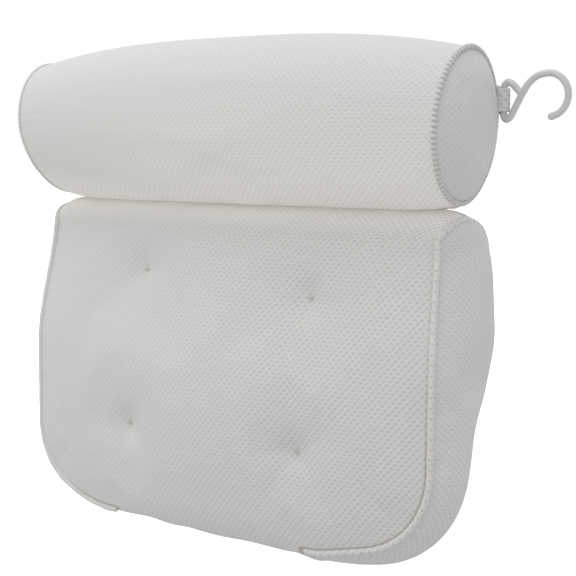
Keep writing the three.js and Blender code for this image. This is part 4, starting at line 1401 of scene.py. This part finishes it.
def make_tapes():
    """The tape behind each cup, sewn down at both ends and raised over the cup's head."""
    fitting = settings().fitting
    low = BACK_PLANE + 0.0003
    high = -fitting.cup_height - fitting.tape_thickness - 0.0004
    half = fitting.tape_length / 2
    raised = fitting.head_radius + 0.0032
    foot = raised + 0.0065
    tape, grid = sheet_grid("cup_tape", 64, 24)
    x = grid[:, 0] * half
    z = grid[:, 1] * fitting.tape_width / 2
    y = mix(high, low, smooth(raised, foot, np.abs(x)))
    move_to(tape, np.column_stack([FIRST_CUP.x + x, y, FIRST_CUP.z + z]))
    weave_from(tape, x, z)
    face_outwards(tape, 0)
    faces_back = tape.data.polygons[0].normal.y < 0
    apply_modifier(tape, "SOLIDIFY", thickness=fitting.tape_thickness, offset=-1 if faces_back else 1)
    deselect()
    bpy.ops.mesh.primitive_cylinder_add(
        vertices=32, radius=fitting.neck_radius + 0.0004, depth=0.03,
        location=(FIRST_CUP.x, high, FIRST_CUP.z), rotation=(math.pi / 2, 0, 0),
    )
    cutter = added("neck_hole")
    apply_modifier(tape, "BOOLEAN", operation="DIFFERENCE", object=cutter, solver="EXACT")
    bpy.data.objects.remove(cutter)
    material = tape_material()
    thread = thread_material()
    surface = low + fitting.tape_thickness
    ends = []
    for side in (-1, 1):
        for inset in (0.0022, 0.0060):
            for step in np.linspace(-1, 1, 8)[:-1]:
                start = step * (fitting.tape_width / 2 - 0.002)
                reach = (fitting.tape_width - 0.004) / 7 * 0.72
                spot = Vector((FIRST_CUP.x + side * (half - inset), surface, FIRST_CUP.z + start))
                ends.append((spot, spot + Vector((0, 0, reach))))
    stitches = stitch_row("tape_stitches", ends, 0.00038)
    for name, place in CUPS.items():
        shift = place - FIRST_CUP
        twin = copy_piece(tape, f"cup_tape_{name}", shift)
        settle(twin, cup_body(name), material, "webbing", f"cup_tab_{name}")
        row = copy_piece(stitches, f"tape_stitches_{name}", shift)
        settle(row, cup_body(name), thread, "thread")
    bpy.data.objects.remove(tape)
    bpy.data.objects.remove(stitches)


def make_hook_loop():
    """The tape loop on the right end panel, folded round the upright bar of the hook."""
    fitting = settings().fitting
    inner = fitting.rod_radius + 0.0005
    thickness = 0.0012
    root = corner("hook_loop", 0).x - HOOK_BAR.x - 0.0012
    pinch = 0.0012
    straight = np.linspace(0, 1, 14)
    leg = np.column_stack([root * (1 - straight), mix(pinch, inner, smooth(0.15, 0.8, straight))])
    turn = np.linspace(math.pi / 2, -math.pi / 2, 18)[1:-1]
    bend = np.column_stack([inner * np.cos(turn), inner * np.sin(turn)])
    path = np.vstack([leg, bend, leg[::-1] * (1, -1)])
    travel = travelled(path)
    loop, grid = sheet_grid("hook_loop_tape", len(path) - 1, 16)
    step = (grid[:, 0] + 1) / 2 * (len(path) - 1)
    order = np.arange(len(path))
    x = np.interp(step, order, path[:, 0])
    y = np.interp(step, order, path[:, 1])
    flare = 1 + 0.40 * np.clip(x / root, 0, 1)
    z = grid[:, 1] * fitting.loop_width / 2 * flare
    move_to(loop, np.column_stack([HOOK_BAR.x + x, HOOK_BAR.y + y, HOOK_BAR.z + z]))
    weave_from(loop, np.interp(step, order, travel), z)
    face_outwards(loop, 0)
    face = max(loop.data.polygons, key=lambda item: item.center.x)
    outward = 1 if face.normal.x > 0 else -1
    apply_modifier(loop, "SOLIDIFY", thickness=thickness, offset=outward)
    apply_modifier(loop, "BEVEL", width=0.0003, segments=2, limit_method="ANGLE")
    settle(loop, "roll", air_mesh("air_mesh_seam"), "webbing", "hook_loop")


def make_hook():
    """One moulded rod: the open ring, its stem and a frame whose upright bar hangs in the loop."""
    fitting = settings().fitting
    radius = fitting.rod_radius
    ring = fitting.ring_radius
    ring_x, ring_z = 0.0314, 0.0028
    turns = [math.radians(degrees) for degrees in range(-78, 103, 20)]
    path = [(ring_x + ring * math.cos(turn), ring_z + ring * math.sin(turn)) for turn in turns]
    bend = (0.0030, 0.0118)
    path += [
        (0.0240, 0.0153), (0.0186, 0.0115), (0.0134, 0.0042), (0.0102, -0.0016), (0.0070, -0.0074),
        (0.0046, -0.0114), (0.0022, -0.0127), (0.0003, -0.0108), (0, -0.0070), (0, 0), (0, 0.0066),
        (0.0005, 0.0098), bend,
    ]
    leg = [bend, (0.0064, 0.0100), (0.0098, 0.0066), (0.0132, 0.0036)]

    def in_place(points):
        return [HOOK_BAR + Vector((x, 0, z)) for x, z in points]

    rods = [bent_rod("stem", in_place(path), radius), bent_rod("leg", in_place(leg), radius)]
    for point, size in ((path[0], 1.12), (bend, 1.0)):
        deselect()
        bpy.ops.mesh.primitive_uv_sphere_add(
            segments=24, ring_count=16, radius=size * radius, location=in_place([point])[0],
        )
        rods.append(added("rod_end"))
        bpy.ops.object.transform_apply(location=True, rotation=True, scale=True)
    hook = join(rods, "hook_rod")
    apply_modifier(hook, "REMESH", mode="VOXEL", voxel_size=0.00045)
    apply_modifier(hook, "SMOOTH", factor=0.5, iterations=8)
    settle(hook, "hook", plastic_material(), "hook_plastic", "drying_hook")


# Stage

SENSOR = 36
LAMP_TARGET = (0, -0.05, 0)
# The floor's width, its grey, and how it turns white from the middle outwards
FLOOR_SIZE = 40
FLOOR_GREY = (0.64, 0.64, 0.64, 1)
FLOOR_FADE = (0.4, 0.9, 0.30, 1.0)


def make_camera():
    stage = settings().stage
    azimuth, pitch = math.radians(stage.azimuth), math.radians(stage.pitch)
    ahead = Vector((
        -math.sin(azimuth) * math.cos(pitch), math.cos(azimuth) * math.cos(pitch), -math.sin(pitch),
    ))
    data = bpy.data.cameras.new("photo_camera")
    data.lens = stage.lens
    data.sensor_width = SENSOR
    data.clip_start = 0.01
    camera = bpy.data.objects.new("photo_camera", data)
    bpy.context.scene.collection.objects.link(camera)
    turn = ahead.to_track_quat("-Z", "Y").to_matrix().to_4x4()
    lean = Matrix.Rotation(math.radians(stage.roll), 4, "Z")
    camera.matrix_world = Matrix.Translation(stage.eye) @ turn @ lean
    bpy.context.scene.camera = camera


def seen_directly(nodes):
    """One for rays from the camera and for those that mirror or pass through, else none."""
    path = nodes.add("ShaderNodeLightPath")
    glossy = nodes.math("MAXIMUM", path.outputs["Is Camera Ray"], path.outputs["Is Glossy Ray"])
    return nodes.math("MAXIMUM", glossy, path.outputs["Is Transmission Ray"])


def make_floor():
    """A wide pale floor that renders white and keeps a soft shadow."""
    stage = settings().stage
    deselect()
    bpy.ops.mesh.primitive_grid_add(
        x_subdivisions=4, y_subdivisions=4, size=FLOOR_SIZE,
        location=(0, 0, CAD_BOX[0][2] - stage.floor_drop),
    )
    floor = added("studio_floor")
    nodes = fresh("studio_floor")
    away = nodes.add("ShaderNodeVectorMath", {0: nodes.place()}, operation="LENGTH").outputs["Value"]
    white = nodes.math("MULTIPLY", seen_directly(nodes), nodes.ramp(away, *FLOOR_FADE))
    glow = nodes.add("ShaderNodeEmission", {"Color": (1, 1, 1, 1), "Strength": white})
    pale = nodes.add("ShaderNodeBsdfDiffuse", {"Color": FLOOR_GREY})
    both = nodes.add("ShaderNodeAddShader", {0: glow.outputs[0], 1: pale.outputs[0]})
    nodes.add("ShaderNodeOutputMaterial", {"Surface": both.outputs[0]})
    floor.data.materials.append(nodes.owner)


def make_world():
    """White surroundings, dimmer as a light than as a background."""
    nodes = Nodes(bpy.data.worlds.new("studio"))
    path = nodes.add("ShaderNodeLightPath")
    seen = nodes.math("MAXIMUM", path.outputs["Is Camera Ray"], path.outputs["Is Transmission Ray"])
    level = nodes.add("ShaderNodeMapRange", {"Value": seen, "To Min": settings().stage.ambient})
    inputs = {"Color": (1, 1, 1, 1), "Strength": level.outputs["Result"]}
    background = nodes.add("ShaderNodeBackground", inputs)
    nodes.add("ShaderNodeOutputWorld", {0: background.outputs[0]})
    bpy.context.scene.world = nodes.owner


def make_lamp(name, place, size, watts):
    data = bpy.data.lights.new(name, "AREA")
    data.shape = "DISK"
    data.size = size
    data.energy = watts
    lamp = bpy.data.objects.new(name, data)
    ahead = Vector(LAMP_TARGET) - Vector(place)
    lamp.matrix_world = Matrix.Translation(place) @ ahead.to_track_quat("-Z", "Y").to_matrix().to_4x4()
    bpy.context.scene.collection.objects.link(lamp)


class PILLOW_OT_stage(bpy.types.Operator):
    """Set up the camera, the studio light and the pale floor"""
    bl_idname = "pillow.stage"
    bl_label = "Stage"

    def execute(self, context):
        stage = settings().stage
        make_camera()
        make_floor()
        make_world()
        make_lamp("overhead_light", (-0.3, -0.6, 1.9), 1.6, stage.key)
        make_lamp("front_light", (-1.4, -2.0, 1.3), 1.0, stage.fill)
        context.scene.view_settings.view_transform = "Standard"
        return {"FINISHED"}


class PILLOW_OT_roll(bpy.types.Operator):
    """Make the neck roll's tube and end panels"""
    bl_idname = "pillow.roll"
    bl_label = "Neck roll"

    def execute(self, context):
        make_roll()
        return {"FINISHED"}


class PILLOW_OT_ridges(bpy.types.Operator):
    """Make the stitched ridges along the roll's end seams"""
    bl_idname = "pillow.ridges"
    bl_label = "End ridges"

    def execute(self, context):
        make_ridges()
        return {"FINISHED"}


class PILLOW_OT_cushion(bpy.types.Operator):
    """Make the cushion's covers and gussets"""
    bl_idname = "pillow.cushion"
    bl_label = "Cushion"

    def execute(self, context):
        make_cushion()
        return {"FINISHED"}


class PILLOW_OT_piping(bpy.types.Operator):
    """Make the piping along the gusset seams"""
    bl_idname = "pillow.piping"
    bl_label = "Piping"

    def execute(self, context):
        make_piping()
        return {"FINISHED"}


class PILLOW_OT_fold_seam(bpy.types.Operator):
    """Make the strip that hinges the roll on the cushion"""
    bl_idname = "pillow.fold_seam"
    bl_label = "Fold seam"

    def execute(self, context):
        make_fold_seam()
        return {"FINISHED"}


class PILLOW_OT_tufts(bpy.types.Operator):
    """Make the threads of the tufts"""
    bl_idname = "pillow.tufts"
    bl_label = "Tuft threads"

    def execute(self, context):
        make_tufts()
        return {"FINISHED"}


class PILLOW_OT_tapes(bpy.types.Operator):
    """Make the tapes that carry the cups"""
    bl_idname = "pillow.tapes"
    bl_label = "Cup tapes"

    def execute(self, context):
        make_tapes()
        return {"FINISHED"}


class PILLOW_OT_cups(bpy.types.Operator):
    """Make the suction cups"""
    bl_idname = "pillow.cups"
    bl_label = "Suction cups"

    def execute(self, context):
        make_cups()
        return {"FINISHED"}


class PILLOW_OT_hook_loop(bpy.types.Operator):
    """Make the loop that holds the hook"""
    bl_idname = "pillow.hook_loop"
    bl_label = "Hook loop"

    def execute(self, context):
        make_hook_loop()
        return {"FINISHED"}


class PILLOW_OT_hook(bpy.types.Operator):
    """Make the drying hook"""
    bl_idname = "pillow.hook"
    bl_label = "Drying hook"

    def execute(self, context):
        make_hook()
        return {"FINISHED"}


STEPS = (
    PILLOW_OT_stage, PILLOW_OT_roll, PILLOW_OT_ridges, PILLOW_OT_cushion, PILLOW_OT_piping,
    PILLOW_OT_fold_seam, PILLOW_OT_tufts, PILLOW_OT_tapes, PILLOW_OT_cups, PILLOW_OT_hook_loop,
    PILLOW_OT_hook,
)
GROUPS = (
    RollSizes, CushionSizes, TuftSizes, StuffingSettings, FabricSettings, FittingSettings, StageSettings,
    PillowSettings,
)


class PILLOW_PT_sidebar(bpy.types.Panel):
    """Steps and sizes of the bath pillow"""
    bl_idname = "PILLOW_PT_sidebar"
    bl_label = "Bath pillow"
    bl_space_type = "VIEW_3D"
    bl_region_type = "UI"
    bl_category = "Bath pillow"

    def draw(self, context):
        for step in STEPS:
            self.layout.operator(step.bl_idname)
        pillow = context.scene.bath_pillow
        for group in pillow.bl_rna.properties:
            if group.type == "POINTER" and group.identifier != "rna_type":
                box = self.layout.box()
                box.label(text=group.name)
                sizes = getattr(pillow, group.identifier)
                for size in sizes.bl_rna.properties:
                    if not size.is_readonly and size.identifier != "name":
                        box.prop(sizes, size.identifier)


CLASSES = (*GROUPS, *STEPS, PILLOW_PT_sidebar)


def register():
    for item in CLASSES:
        bpy.utils.register_class(item)
    bpy.types.Scene.bath_pillow = bpy.props.PointerProperty(type=PillowSettings)


def unregister():
    del bpy.types.Scene.bath_pillow
    for item in reversed(CLASSES):
        bpy.utils.unregister_class(item)


def main():
    register()
    for step in STEPS:
        group, name = step.bl_idname.split(".")
        getattr(getattr(bpy.ops, group), name)()


if __name__ == "__main__":
    main()
